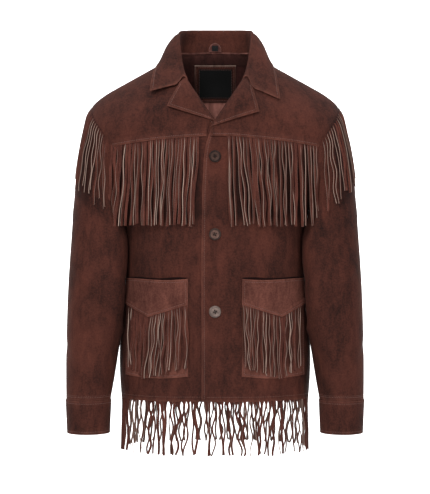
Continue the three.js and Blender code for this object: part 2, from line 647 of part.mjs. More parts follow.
// A backing strip between its foot and top lines, with count strands whose roots sit in its foot.
// hang gives the rest of strand n below its root.
function fringe(foot, top, count, hang) {
  const strip = solidOf(wall([foot, top], { thick: TRIM_THICK }));
  const strands = Array.from({ length: count }, (_, n) => {
    const share = (n + 0.5) / count;
    const low = pointAlong(foot, share);
    const ahead = pointAlong(foot, share + 0.002);
    const high = pointAlong(top, share);
    const down = low.clone().sub(high).normalize();
    const facing = down.clone().cross(ahead.sub(low)).normalize();
    const root = low.clone().addScaledVector(down, -1.6);
    const out = low.clone().addScaledVector(down, 1.6);
    return strand([{ p: root, facing }, { p: out, facing }, ...hang({ n, share, root: out, facing })]);
  });
  return geometryOf(wasm.Manifold.union([strip, ...strands]));
}
const sway = (n, s) => 1.1 * s * Math.sin(5.2 * s + 0.55 * n) + 0.5 * s * Math.sin(11 * s + 0.9 * n);
const uneven = (n) => 2.2 * Math.sin(2.3 * n) + 1.2 * Math.sin(5.1 * n);

// Strands that rest on a front, or hang clear of it where it draws back
const hangOnFront = (panel, shares, clear, tipOf) => ({ n, root, facing }) => {
  let ahead = root.y;
  const tip = tipOf(root) + uneven(n);
  return shares.map((s) => {
    const x = root.x + sway(n, s);
    const z = mix(root.z, tip, s);
    const own = frontNormal(x, z);
    const y = depthOn(panel, x, z) - clear / Math.max(0.4, -own.y);
    ahead = Math.min(y, ahead - 0.6);
    return { p: new THREE.Vector3(x, ahead, z), facing };
  });
};
function chestFringe(panel, side) {
  const columns = [side > 0 ? 0.95 : 1.2, 2, 3, 4, 5, 6, 7, 7.7];
  const grid = laidOn(panel, side, columns, (j, place) => {
    const edge = gridAt(panel, YOKE_ROW, place).z;
    return [edge - 4, edge + 6].map((z) => rowAt(panel, place, z));
  });
  const [foot, top] = lifted(grid, () => LAYER + 0.15);
  return fringe(foot, top, STRANDS.chest, hangOnFront(panel, [0.2, 0.5, 1], 3.3, () => FRINGE.chestTipZ));
}
function pocketFringe(panel, side) {
  const grid = laidOn(panel, side, TRIM_COLUMNS, (j, place) =>
    [trimZ(j) - 3.5, trimZ(j) + 5].map((z) => rowAt(panel, place, z)),
  );
  const swell = (j) => pocketSwell(columnOf(side, TRIM_COLUMNS, j), POCKET.topZ);
  const [foot, top] = lifted(grid, (i, j) => 2 * LAYER + 0.1 + swell(j));
  const hang = hangOnFront(panel, [0.45, 1], 6.4, (root) => root.z - FRINGE.pocket);
  return fringe(foot, top, STRANDS.pocket, hang);
}

// Hem strands lean a little towards the middle of their clump, which leaves gaps between clumps
function hangFree(count, width) {
  const sizes = [3, 2, 4, 3, 2, 3, 4, 2];
  const leans = [];
  for (let c = 0; leans.length < count; c++) {
    const size = sizes[c % sizes.length];
    for (let k = 0; k < size; k++) leans.push(((size - 1) / 2 - k) * 0.3);
  }
  return ({ n, root, facing }) => {
    const across = facing.clone().cross(new THREE.Vector3(0, 0, 1)).negate().normalize();
    return [0.5, 1].map((s) => {
      const p = root.clone().addScaledVector(across, (leans[n] * width * s * s) / count + 0.5 * sway(n, s));
      p.addScaledVector(facing, 1.2 * s * Math.sin(1.7 * n));
      p.z -= s * (FRINGE.hem + uneven(n));
      return { p, facing };
    });
  };
}
function hemFringe(panel, from, to, count) {
  const columns = [from];
  for (let j = Math.floor(from) + 1; j < to; j++) columns.push(j);
  columns.push(to);
  const line = (drop) => columns.map((j) => gridAt(panel, 0, j).add(new THREE.Vector3(0, 0, -drop)));
  const foot = line(SEAM_GAP + FRINGE.hemStrip);
  const width = foot.reduce((sum, p, i) => sum + (i ? p.distanceTo(foot[i - 1]) : 0), 0);
  return fringe(foot, line(SEAM_GAP), count, hangFree(count, width));
}

// Strands that hang over the sleeve from the armhole seam: their way is downhill on its surface
function sleeveSlopes(ring, turn) {
  const e = 0.01;
  const p = sleevePoint(ring, turn);
  const alongSleeve = sleevePoint(ring + e, turn).sub(p).divideScalar(e);
  const around = sleevePoint(ring, turn + e).sub(p).divideScalar(e);
  const facing = alongSleeve.clone().cross(around).normalize();
  return { p, alongSleeve, around, facing };
}
function sleeveWalk(ring, turn, length) {
  const step = 3;
  const places = [];
  for (let s = 0; s <= length; s += step) {
    const { p, alongSleeve, around, facing } = sleeveSlopes(ring, turn);
    if (facing.dot(p.clone().sub(new THREE.Vector3(215, 0, p.z - 60))) < 0) facing.negate();
    places.push({ p, facing });
    const down = new THREE.Vector3(0, 0, -1).addScaledVector(facing, facing.z).normalize();
    const [a, b, c] = [alongSleeve.dot(alongSleeve), alongSleeve.dot(around), around.dot(around)];
    const [u, v] = [down.dot(alongSleeve), down.dot(around)];
    const det = a * c - b * b;
    ring += (step * (u * c - v * b)) / det;
    turn += (step * (v * a - u * b)) / det;
  }
  return places;
}
function armholeFringe() {
  const reach = 4.6;
  const lift = 2;
  const turns = [reach, 4, 3, 2, 1, 0.5, 0, -0.5, -1, -2, -3, -4, -reach];
  const line = (ring) =>
    turns.map((turn) => {
      const [place] = sleeveWalk(ring, turn, 0);
      return place.p.clone().addScaledVector(place.facing, lift);
    });
  return fringe(line(0.66), line(0.16), STRANDS.armhole, ({ n, share }) => {
    const turn = mix(reach, -reach, share);
    const walk = sleeveWalk(0.72, turn, FRINGE.armhole + 2 * uneven(n));
    return [0.14, 0.4, 0.7, 1].map((s) => {
      const { p, facing } = walk[Math.round(s * (walk.length - 1))];
      const across = new THREE.Vector3(0, 0, 1).cross(facing).normalize();
      const clear = lift + 1.5 * smooth(0, 0.5, s);
      const out = p.clone().addScaledVector(facing, clear);
      return { p: out.addScaledVector(across, 0.5 * sway(n, s)), facing };
    });
  });
}

// A four-hole button
function buttonGeometry() {
  const { radius } = BUTTON;
  const profile = [
    [0, 0],
    [radius - 2, 0],
    [radius, 1.6],
    [radius - 0.8, 3.4],
    [radius - 2.8, 3.4],
    [radius - 4, 2.4],
    [0, 2.4],
  ].map(([r, h]) => new THREE.Vector2(r, h));
  const disc = solidOf(new THREE.LatheGeometry(profile, 16));
  const holes = [0, 1, 2, 3].map((k) => {
    const angle = (Math.PI / 2) * (k + 0.5);
    const hole = new THREE.CylinderGeometry(1, 1, 3, 6);
    hole.translate(2.5 * Math.cos(angle), 2.6, 2.5 * Math.sin(angle));
    return solidOf(hole);
  });
  return geometryOf(disc.subtract(wasm.Manifold.union(holes)));
}

// Pieces on the inside: rows and columns of the back, and the loop and size tab on the collar stand
function insideBack(back, { left, right, topZ, height, rows }, lift) {
  const middle = (back[0].length - 1) / 2;
  const columns = [-left, ...[-1, 0, 1].filter((k) => k > -left && k < right), right].map((k) => middle + k);
  const made = columns.map((j) =>
    [rowAt(back, j, topZ - height), ...rows, rowAt(back, j, topZ)].map((i) => gridAt(back, i, j)),
  );
  return lifted(made[0].map((_, i) => made.map((column) => column[i])), () => -lift);
}
function insideStand(collar, { reach, low, high, rounded }, lift) {
  const middle = (collar[0].length - 1) / 2;
  const across = rounded ? [-1, -0.85, -0.5, 0, 0.5, 0.85, 1] : [-1, 0, 1];
  const grid = [0, 0.5, 1].map((r) =>
    across.map((a) => {
      const top = rounded ? Math.sqrt(1 - 0.93 * a * a) : 1;
      return gridAt(collar, low + r * top * (high - low), middle + a * reach);
    }),
  );
  return lifted(grid, () => lift);
}

const paint = (color, roughness) => new THREE.MeshStandardMaterial({ color, roughness, metalness: 0 });
const MATERIALS = {
  suede: paint("#4a2a24", 0.95),
  trim: paint("#5f3a33", 0.95),
  strands: paint("#54332c", 0.95),
  inside: paint("#3d1f1b", 0.95),
  label: paint("#15161a", 0.8),
  button: paint("#5d5049", 0.45),
};

const jacket = new THREE.Group();
jacket.name = "suede_jacket";
function add(name, geometry, material) {
  const mesh = new THREE.Mesh(geometry, material);
  mesh.name = name;
  jacket.add(mesh);
  return mesh;
}

const BACK = backGrid();
const FRONTS = { 1: frontGrid(1), "-1": frontGrid(-1) };
const keepBehind = (p, i) => {
  if (i === TOP_ROW && Math.abs(p.x) > NECK.x - 3) p.y = Math.max(p.y, SHOULDER_Y + SEAM_GAP / 2);
  if (i <= LOW_ROWS.length) p.y = Math.max(p.y, SEAM_GAP / 2);
};
const keepBefore = (p, i) => {
  p.y = Math.min(p.y, i <= LOW_ROWS.length ? -SEAM_GAP / 2 : SHOULDER_Y - SEAM_GAP / 2);
};
add("back", wall(BACK, { settle: keepBehind }), MATERIALS.suede);
for (const [name, side] of [["left", 1], ["right", -1]]) {
  const panel = FRONTS[side];
  const ownSide = (geometry) => (side > 0 ? geometry : flipped(geometry));
  add(`front_${name}`, wall(panel, { settle: keepBefore }), MATERIALS.suede);
  add(`yoke_${name}`, wall(yokeGrid(panel, side), { settle: keepBefore }), MATERIALS.suede);
  add(`lapel_${name}`, wall(lapelGrid(panel, side)), MATERIALS.suede);
  add(`sleeve_${name}`, ownSide(wall(sleeveGrid(), { round: true })), MATERIALS.suede);
  add(`cuff_${name}`, ownSide(wall(cuffGrid(), { round: true })), MATERIALS.suede);
  add(`pocket_${name}`, wall(pocketGrid(panel, side)), MATERIALS.suede);
  add(`pocket_trim_${name}`, wall(pocketTrimGrid(panel, side)), MATERIALS.trim);
  add(`chest_fringe_${name}`, chestFringe(panel, side), MATERIALS.strands);
  add(`armhole_fringe_${name}`, ownSide(armholeFringe()), MATERIALS.strands);
  add(`pocket_fringe_${name}`, pocketFringe(panel, side), MATERIALS.strands);
}
const collar = collarGrid(BACK, FRONTS);
add("collar", wall(collar, { thick: COLLAR_THICK }), MATERIALS.suede);
add("hem_fringe_left", hemFringe(FRONTS[1], 0.03, 7.98, STRANDS.hemFront), MATERIALS.strands);
add("hem_fringe_right", hemFringe(FRONTS[-1], 0.02, 6.5, STRANDS.hemFront), MATERIALS.strands);
add("hem_fringe_back", hemFringe(BACK, 0.03, 17.97, STRANDS.hemBack), MATERIALS.strands);
add("label_patch", wall(insideBack(BACK, LABELS.patch, LAYER), { thick: TRIM_THICK }), MATERIALS.inside);
add("label", wall(insideBack(BACK, LABELS.label, LAYER + 1.5), { thick: 0.8 }), MATERIALS.label);
add("loop_patch", wall(insideStand(collar, LABELS.loop, 2), { thick: 1 }), MATERIALS.trim);
add("size_tab", wall(insideStand(collar, LABELS.tab, 3.3), { thick: 0.8 }), MATERIALS.label);
BUTTON.rows.forEach((z, k) => {
  const button = add(`button_${k + 1}`, buttonGeometry(), MATERIALS.button);
  const facing = frontNormal(0, z);
  button.quaternion.setFromUnitVectors(new THREE.Vector3(0, 1, 0), facing);
  const clear = SUEDE / 2 + SEAM_GAP;
  button.position.set(0, depthOn(FRONTS[1], 0, z), z).addScaledVector(facing, clear);
});

export default jacket;
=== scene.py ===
import math

import bpy
import numpy as np
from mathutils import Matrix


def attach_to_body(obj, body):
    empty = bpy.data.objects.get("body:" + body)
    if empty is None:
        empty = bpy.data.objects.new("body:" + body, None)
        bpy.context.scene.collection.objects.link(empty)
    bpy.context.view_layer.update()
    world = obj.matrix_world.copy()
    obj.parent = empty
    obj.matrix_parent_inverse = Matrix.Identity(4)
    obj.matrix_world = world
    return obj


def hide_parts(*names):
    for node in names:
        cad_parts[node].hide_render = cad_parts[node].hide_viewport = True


bl_info = {
    "name": "Suede fringe jacket",
    "version": (1, 0, 0),
    "blender": (4, 5, 0),
    "location": "3D Viewport > Sidebar > Jacket",
    "description": "Dresses the jacket's solids as worn suede cloth with cut fringe, sewing and buttons",
    "category": "Object",
}

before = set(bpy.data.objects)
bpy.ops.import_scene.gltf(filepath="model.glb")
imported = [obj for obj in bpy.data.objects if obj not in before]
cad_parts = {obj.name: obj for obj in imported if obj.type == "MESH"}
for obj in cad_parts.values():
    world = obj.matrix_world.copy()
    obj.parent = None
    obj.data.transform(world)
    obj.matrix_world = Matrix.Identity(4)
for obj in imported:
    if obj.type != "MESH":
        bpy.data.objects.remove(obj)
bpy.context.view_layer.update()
BODY_NAME = "root"


# ---- the jacket's shape, in millimetres, with the same values as its solids ----
HEM_Z, PIT_Z, TIP_X, TIP_Z = -646, -286, 241, -85
NECK_X, NECK_Z, SHOULDER_Y, NECK_RISE = 72, 18, 15, 10
YOKE_LEVEL, YOKE_CENTRE_Z, YOKE_ARMHOLE_Z = 0.6, -149, -166
LAYER, OVERLAP_LIFT, SEAM = 1.9, 2.6, 0.3
# how far front and back each stay off the seam between them, along the shoulder and at the side
SHOULDER_GAP, SIDE_GAP = 0.2, 0.05
BUTTON_ROWS = (-187, -332, -477)
POCKET_TOP, POCKET_BOTTOM, POCKET_INNER, POCKET_OUTER = -414, -599, 50, (169, 167)
TRIM_POINT, TRIM_SIDE_DEPTH, TRIM_POINT_DEPTH = 0.62, 50, 74
CUFF_TOP, CUFF_END = -647, -711
CHEST_TIP_Z, ARMHOLE_FRINGE, POCKET_FRINGE, HEM_FRINGE = -315, 142, 116, 100
# height, half width, depth of the front and depth of the back
BODY = np.array([
    (-646, 181, 130, 119), (-600, 184, 129, 115), (-540, 184, 127, 109), (-480, 179, 127, 103),
    (-430, 175, 129, 101), (-380, 171, 132, 104), (-330, 172, 134, 110), (-286, 181, 136, 115),
    (-260, 192, 136, 117), (-230, 213, 135, 118), (-160, 243, 128, 118), (-110, 270, 116, 112),
    (-50, 300, 93, 101), (30, 320, 66, 68)], float)
# height and distance from the middle
ARMHOLE = np.array([(-286, 181), (-260, 184), (-230, 187.5), (-200, 191), (-175, 196), (-155, 203), (-135, 215),
                    (-113, 230), (-97, 237), (-85, 241)], float)
FRONT_EDGE = np.array([(-646, -25), (-300, -24.5), (-200, -21.5), (-175, -19), (-160, -15.8), (-148, -12),
                       (-136, -8), (-126, -2.2),
                       (-84, 25), (-52, 45.5), (-28, 58), (-12, 66), (4, 71), (18, 72)], float)
# Soft folds: place across and up, lean, width, height and depth
FRONT_FOLDS = ((-112, -372, 0.3, 26, 60, 4.5), (-70, -395, 0.2, 20, 55, -2.5), (118, -366, -0.3, 26, 62, 4.5),
               (74, -380, -0.15, 20, 60, -2.5), (-96, -650, -0.1, 30, 60, 5), (-50, -650, 0, 20, 70, -3),
               (92, -650, 0.12, 32, 58, 5.5), (138, -640, 0.1, 16, 50, -3.5), (-128, -118, -0.5, 22, 45, -2.5),
               (126, -112, 0.5, 24, 45, -2.5))
BACK_FOLDS = ((-95, -430, 0.25, 24, 80, 4.5), (-52, -440, 0.1, 20, 90, -3.5), (100, -420, -0.25, 26, 80, 4.5),
              (48, -460, -0.1, 22, 85, -3), (0, -650, 0, 34, 90, 5), (-110, -650, 0.05, 26, 75, -4),
              (112, -650, -0.05, 28, 75, -4))
# Smaller creases that the solids leave out
FRONT_CREASES = ((-38, -262, 0.5, 9, 40, -1.1), (-90, -345, 0.9, 8, 34, -1.2), (-150, -300, 0.35, 9, 36, 1.3),
                 (-60, -640, 0.1, 9, 30, 1.2), (40, -255, -0.4, 10, 44, -1.1), (98, -330, -0.8, 9, 36, -1.3),
                 (152, -310, -0.3, 9, 34, 1.2), (64, -628, -0.2, 9, 30, 1.1), (-150, -225, 0.7, 10, 30, -1.4),
                 (152, -232, -0.6, 10, 32, -1.5), (-100, -70, -0.9, 12, 26, -1.0), (104, -74, 0.8, 12, 28, -1.1))
BACK_CREASES = ((-70, -520, 0.2, 10, 60, -1.4), (60, -500, -0.25, 10, 55, -1.3), (-130, -330, 0.8, 11, 40, -1.5),
                (132, -340, -0.8, 11, 42, -1.5), (-40, -600, -0.1, 10, 45, 1.3), (88, -610, 0.1, 11, 45, 1.2),
                (-150, -180, 0.9, 13, 34, -1.6), (150, -176, -0.9, 13, 36, -1.5), (0, -60, 0.1, 26, 22, -1.2),
                (-24, -330, 0.15, 12, 70, -1.3), (30, -300, -0.1, 14, 80, 1.2), (-96, -250, 0.5, 13, 46, -1.5),
                (102, -262, -0.55, 12, 50, -1.6), (-150, -450, 0.3, 12, 60, -1.5), (148, -470, -0.25, 12, 56, 1.4))
# ring, outermost x and z, innermost x and z, middle y, half depth, how far its inner side comes forward,
# and how much of the armhole's outline is kept
SLEEVE = np.array([
    (0, 241, -85, 181, -286, 2, 84, 0, 1), (1, 246.5, -94, 180.6, -293, 2, 83, 0, 0.8),
    (2, 252, -112, 176.6, -303, 1, 81, -7, 0.5), (3, 260, -155, 173, -318, -3, 79, -22, 0.15),
    (4, 268, -210, 168.5, -340, -9, 76, -44, 0), (5, 273, -275, 167.5, -372, -17, 73, -42, 0),
    (6, 277, -345, 170.3, -416, -28, 70, -37, 0), (7, 281, -420, 173.8, -466, -39, 67, -27, 0),
    (8, 283, -490, 179, -516, -46, 64, -12, 0), (9, 284.5, -556, 187, -565, -51, 59, 0, 0),
    (10, 284.5, -603, 193.5, -606, -54, 55, 0, 0), (11, 284, -646.7, 200.5, -646.7, -56, 49, 0, 0)], float)
# ring, angle, length, width, depth
SLEEVE_FOLDS = ((5.2, 70, 0.8, 34, -3), (6.4, 120, 0.6, 40, 3.5), (7.0, 95, 0.45, 38, -4), (7.8, 60, 0.6, 36, 3),
                (6.8, 262, 0.6, 40, 4), (9.8, 100, 0.6, 46, 3))
SLEEVE_CREASES = ((4.3, 100, 0.22, 30, -1.6), (5.9, 80, 0.2, 34, -1.8), (6.7, 60, 0.16, 30, 1.5),
                  (7.3, 120, 0.16, 36, -1.7), (8.3, 90, 0.2, 30, -1.5), (9.2, 70, 0.2, 34, 1.3),
                  (10.3, 110, 0.18, 40, -1.6), (6.2, 200, 0.2, 30, -1.8), (7.1, 230, 0.18, 34, -1.9),
                  (8.0, 190, 0.2, 30, 1.6), (3.4, 300, 0.25, 34, -1.5), (9.4, 290, 0.22, 34, -1.4),
                  (2.2, 250, 0.3, 30, -1.6), (5.0, 330, 0.22, 30, 1.2), (8.9, 20, 0.2, 26, -1.0))
# station, fold line and outer edge
COLLAR = np.array([
    (0, 0, 70, 75.5, 0, 90, 8), (0.2, 29, 66, 75, 36, 85, 8),
    (0.4, 54, 50, 72.5, 70, 68, 7), (0.58, 68.5, 24, 66, 98, 42, 6),
    (0.7, 69.5, 2, 50, 108.5, 10, 4), (0.82, 67.5, -25, 24, 114.5, -26, -11),
    (0.92, 63.5, -51, -6, 119, -60, -36.5), (1, 58.5, -77.5, -31, 122, -86, -67)], float)
# foot height, gorge height, point x and z, notch x and z; for the wearer's left (1) and right (-1)
LAPELS = {1: (-131, -39, 83, -104, 68, -53), -1: (-120, -37, 90, -94, 65, -47)}


# ---- the making-up, in millimetres ----
SIDES = (("left", 1), ("right", -1))
ALL_SIDES = ("bottom", "top", "left", "right")
EDGE_STEPS = np.array([0, 0.5, 1.3, 2.8, 4.6, 5.4, 6.2, 8.5])
EDGE_INSET, PANEL_INSET, HEM_INSET, CUFF_INSET = 5.4, 4.6, 9.0, (6.5, 9.5)
GROOVE, STITCH_SINK, STITCH_SPAN = 0.45, 0.3, (0.14, 0.86)
ROOT_OVERLAP = 4
ARMHOLE_REACH = 73
BUTTON_COLOURS = {"button_1": "horn", "button_2": "grey_horn", "button_3": "pale_horn"}
BUTTON_TURNS = {"button_1": 0.0, "button_2": 0.5, "button_3": 0.25}
BUTTON_LIFT = 0.75 + SEAM
# number of strands and seed of their draws; the last three are the parts of the hem
FRINGES = {"chest": (29, 11), "pocket": (24, 31), "armhole": (28, 50),
           "left": (31, 71), "right": (24, 72), "back": (56, 73)}
MM = 0.001
UP, LEVEL = np.array([0, 0, 1.0]), np.array([1, 1, 0])
SMOOTH_DEGREES, BUTTON_SMOOTH_DEGREES = 42, 35
# share of the golden section, which spreads a row of numbers evenly
GOLDEN = 0.618


def mix(a, b, t):
    return a + (b - a) * t


def smooth(lo, hi, v):
    t = np.clip((v - lo) / (hi - lo), 0, 1)
    return t * t * (3 - 2 * t)


def along(table, at, column):
    """A smooth curve through a table's rows, whose first column is the key."""
    k, v = table[:, 0], table[:, column]
    at = np.asarray(at, float)
    i = np.clip(np.searchsorted(k, at, side="right") - 1, 0, len(k) - 2)
    s = np.diff(v) / np.diff(k)
    before = np.where(i > 0, (s[np.maximum(i - 1, 0)] + s[i]) / 2, s[i])
    after = np.where(i < len(k) - 2, (s[i] + s[np.minimum(i + 1, len(s) - 1)]) / 2, s[i])
    span = k[i + 1] - k[i]
    t = np.clip((at - k[i]) / span, 0, 1)
    h = t * t * (3 - 2 * t)
    return mix(v[i], v[i + 1], h) + span * t * (1 - t) * ((1 - t) * before - t * after)


def shoulder_z(x):
    a = np.abs(x)
    return NECK_Z - 0.556 * (a - NECK_X) - 8 * np.maximum(0, (a - 200) / 41) ** 2


def folds_at(folds, x, z):
    return sum(d * np.exp(-(((x - fx - lean * (z - fz)) / w) ** 2) - ((z - fz) / h) ** 2)
               for fx, fz, lean, w, h, d in folds)


def shoulder_round(x, z):
    d = np.clip((shoulder_z(x) - z) / 110, 0, 1)
    return (1 - (1 - d) ** 1.8) ** (1 / 1.8)


def flatness(x, z):
    share = np.clip(np.abs(x) / along(BODY, z, 1), 0, 1)
    return (1 - share ** 2.5) ** 0.4


def front_y(x, z):
    depth = (along(BODY, z, 2) + folds_at(FRONT_FOLDS, x, z) + 1.5 * folds_at(FRONT_CREASES, x, z)) * flatness(x, z)
    return SHOULDER_Y - (SHOULDER_Y + depth) * shoulder_round(x, z)


def back_y(x, z):
    depth = (along(BODY, z, 3) + folds_at(BACK_FOLDS, x, z) + 1.8 * folds_at(BACK_CREASES, x, z)) * flatness(x, z)
    neck = np.sqrt(np.maximum(0, 1 - (x / NECK_X) ** 2))
    rounding = shoulder_round(x, z)
    return SHOULDER_Y + (depth - SHOULDER_Y) * (rounding + (1 - rounding) * neck)


def armhole_x(z, on_back=False):
    return along(ARMHOLE, z, 1) + (7 * np.sin(np.pi * (z - PIT_Z) / (TIP_Z - PIT_Z)) if on_back else 0)


def yoke_edge_z(x):
    return mix(YOKE_CENTRE_Z, YOKE_ARMHOLE_Z, np.clip(np.abs(x) / 195, 0, 1) ** 1.6)


def unit(v):
    return v / np.maximum(np.linalg.norm(v, axis=-1, keepdims=True), 1e-9)


def normal_of(y_at, x, z):
    """The normal, towards the front, of a surface that gives y for x and z."""
    e = 0.8
    dx = (y_at(x + e, z) - y_at(x - e, z)) / (2 * e)
    dz = (y_at(x, z + e) - y_at(x, z - e)) / (2 * e)
    return unit(np.stack([dx, -np.ones_like(dx), dz], -1))


def on_front(side, x, z, out=0.0):
    """Points of a front at a distance x towards its own side, moved out along the normal."""
    x, z = np.broadcast_arrays(np.asarray(x, float), np.asarray(z, float))
    up = out + (OVERLAP_LIFT * (1 - smooth(42, 84, x)) * smooth(0, 40, shoulder_z(x) - z) if side > 0 else 0)
    p = np.stack([side * x, front_y(side * x, z), z], -1)
    return p + normal_of(front_y, side * x, z) * np.broadcast_to(up, x.shape)[..., None]


def ripple(u, v, seed=0.0):
    """Uneven soft waves between -1 and 1, for cloth that is never quite even."""
    s = seed * 7.31
    return (np.sin(0.83 * u + 1.7 * np.sin(0.61 * v + s) + s) + np.sin(1.31 * v + 1.3 * np.sin(0.47 * u + 2 * s))
            + 0.6 * np.sin(1.9 * u - 1.1 * v + 3 * s)) / 2.6


# ---- meshes ----
def lengths(p, axis=0):
    """Distance from the start along a line or along one way of a grid of points."""
    run = np.cumsum(np.linalg.norm(np.diff(p, axis=axis), axis=-1), axis)
    return np.concatenate([np.zeros_like(run.take([0], axis)), run], axis)


def steps(count, length, ends=(True, True)):
    """Shares from 0 to 1, closer together near each end that is a cut or turned edge."""
    near = EDGE_STEPS / length
    inner = np.linspace(near[-1] if ends[0] else 0, 1 - near[-1] if ends[1] else 1, count)
    return np.unique(np.concatenate([near if ends[0] else [0], inner, 1 - near if ends[1] else [1]]).round(7))


def grid_of(rows, shares):
    return np.meshgrid(rows, shares, indexing="ij")


def to_side(side, *grids):
    """Grids of the wearer's left as they are, those of the right in the opposite order across."""
    turned = grids if side > 0 else [g[:, ::-1] for g in grids]
    return turned[0] if len(grids) == 1 else turned


def closed(p, ring):
    return np.concatenate([p, p[:, :1]], 1) if ring else p


def grid_normals(p, ring=False, face=(0, -1, 0)):
    """Normals of a grid and whether its order must be turned so that they look towards face, or outward on a ring."""
    du = np.roll(p, -1, 1) - np.roll(p, 1, 1) if ring else np.gradient(p, axis=1)
    n = unit(np.cross(du, np.gradient(p, axis=0)))
    out = p - p.mean(1, keepdims=True) if ring else np.array(face, float)
    turned = bool(np.sum(n * out) < 0)
    return (-n if turned else n), turned


def edge_distance(p, ring, sides=ALL_SIDES):
    """How far each point is from the nearest of the named borders of its grid."""
    up, across = lengths(p), lengths(p, 1)
    reach = {"bottom": up, "top": up[-1] - up, "left": across, "right": across[:, -1:] - across}
    return np.min([reach[side] for side in sides if not (ring and side in ("left", "right"))], axis=0)


def cut_of(p, ring=False):
    """Width and length in metres and area in square metres of what shows of a piece, from its grid."""
    q = closed(p, ring)
    a, b, c, d = q[:-1, :-1], q[:-1, 1:], q[1:, 1:], q[1:, :-1]
    twice = np.linalg.norm(np.cross(b - a, c - a), axis=-1) + np.linalg.norm(np.cross(c - a, d - a), axis=-1)
    wide, long = lengths(q, 1)[:, -1].max(), lengths(q)[-1].max()
    return round(wide / 1000, 3), round(long / 1000, 3), round(0.5 * twice.sum() / 1e6, 4)


def select(*objects):
    bpy.ops.object.select_all(action="DESELECT")
    for obj in objects:
        obj.select_set(True)
    bpy.context.view_layer.objects.active = objects[0]


def smooth_by_angle(obj, degrees):
    select(obj)
    bpy.ops.object.shade_smooth_by_angle(angle=math.radians(degrees))


def mesh_object(name, points, faces, paints, face_slots=None, attributes=None, uv=None):
    mesh = bpy.data.meshes.new(name)
    mesh.from_pydata((np.asarray(points) * MM).tolist(), [], [list(map(int, f)) for f in faces])
    for kind in paints:
        mesh.materials.append(paint(kind))
    if face_slots is not None:
        mesh.polygons.foreach_set("material_index", np.asarray(face_slots, np.int32))
    for key, (domain, values) in (attributes or {}).items():
        layer = mesh.attributes.new(key, "FLOAT", domain)
        layer.data.foreach_set("value", np.asarray(values, np.float32).ravel())
    if uv is not None:
        layer = mesh.uv_layers.new(name="UVMap")
        loops = np.empty(len(mesh.loops), np.int32)
        mesh.loops.foreach_get("vertex_index", loops)
        layer.data.foreach_set("uv", np.asarray(uv, np.float32)[loops].ravel())
    mesh.update()
    obj = bpy.data.objects.new(name, mesh)
    bpy.context.scene.collection.objects.link(obj)
    smooth_by_angle(obj, SMOOTH_DEGREES)
    return obj


def cloth(name, p, thick, ring=False, face=(0, -1, 0), groove=0.0, groove_at=EDGE_INSET, wear_reach=4.0, pucker=0.0,
          slots=(0, 1), inner_wear=0.0, sewn=ALL_SIDES, shade=0.0, wear_by=1.0, paints=("brushed_suede", "flesh")):
    """A thin closed wall on a grid of points, with rounded borders and a groove along the sewn ones."""
    n, flip = grid_normals(p, ring, face)
    near, d = edge_distance(p, ring), edge_distance(p, ring, sewn)
    u, v = lengths(p, 1), lengths(p)
    groove_width, pucker_width, pucker_length, rounded = 0.9, 5, 2.4, 1.3
    relief = -groove * np.exp(-(((d - groove_at) / groove_width) ** 2))
    waves = ripple(u / pucker_length, v / pucker_length, len(name))
    relief += pucker * waves * np.exp(-(((d - groove_at) / pucker_width) ** 2))
    rounding = np.sqrt(1 - (1 - np.clip(near / rounded, 0, 1)) ** 2)
    half = n * (thick / 2 * (0.35 + 0.65 * rounding))[..., None]
    mid = p + n * relief[..., None]
    points = np.concatenate([(mid + half).reshape(-1, 3), (mid - half).reshape(-1, 3)])
    ids = closed(np.arange(d.size).reshape(d.shape), ring)
    corners = ids[:-1, :-1], ids[:-1, 1:], ids[1:, 1:], ids[1:, :-1]
    front, back = (np.stack([corners[k] for k in order], -1).reshape(-1, 4) for order in ((0, 1, 2, 3), (0, 3, 2, 1)))
    rims = []
    for line, inward in ((ids[0], True), (ids[-1], False), (ids[:, 0], False), (ids[:, -1], True))[:2 if ring else 4]:
        a, b = line[:-1], line[1:]
        rims.append(np.stack([a, a + d.size, b + d.size, b] if inward else [a, b, b + d.size, a + d.size], 1))
    rims = np.concatenate(rims)
    faces = np.concatenate([front, back + d.size, rims])
    face_slots = np.repeat([slots[0], slots[1], slots[0]], [len(front), len(back), len(rims)])
    # paler borders, partly rubbed and partly painted highlight; the shade attribute is painted shade on the outer face
    wear = np.exp(-d / wear_reach) * wear_by
    attributes = {"wear": ("POINT", np.stack([wear, np.maximum(wear, inner_wear)])),
                  "shade": ("POINT", np.stack([np.broadcast_to(shade, d.shape), np.zeros(d.shape)]))}
    uv = np.tile(np.stack([u.ravel(), v.ravel()], 1) * MM, (2, 1))
    return mesh_object(name, points, faces[:, ::-1] if flip else faces, paints, face_slots, attributes, uv)


def attach(obj, node=None):
    """Puts a piece in the frame, in the place of its solid where it has one."""
    if node:
        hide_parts(node)
    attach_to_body(obj, BODY_NAME)


def dress(name, node, p, thick, held, rests_on=(), ring=False, **look):
    """Makes a cloth piece on its grid and attaches it; it works out the cut of what shows, but keeps nothing of it."""
    obj = cloth(name, p, thick, ring=ring, **look)
    attach(obj, node)
    wide, long, area = cut_of(p, ring)


# ---- materials ----
def linear(color):
    return tuple(c / 12.92 if c <= 0.04045 else ((c + 0.055) / 1.055) ** 2.4 for c in color[:3]) + (1.0,)


def add_node(tree, kind, inputs, result=None, **settings):
    """A shader node whose inputs are linked or set; returns the named or numbered output, or the node."""
    node = tree.nodes.new(kind)
    for key, value in settings.items():
        setattr(node, key, value)
    for key, value in inputs.items():
        if isinstance(value, bpy.types.NodeSocket):
            tree.links.new(value, node.inputs[key])
        else:
            node.inputs[key].default_value = value
    return node if result is None else node.outputs[result]


def math_node(tree, kind, a, b):
    return add_node(tree, "ShaderNodeMath", {0: a, 1: b}, 0, operation=kind)


def blend(tree, kind, share, a, b):
    return add_node(tree, "ShaderNodeMix", {0: share, 6: a, 7: b}, 2, data_type="RGBA", blend_type=kind)


def mesh_value(tree, name):
    return add_node(tree, "ShaderNodeAttribute", {}, "Fac", attribute_name=name)


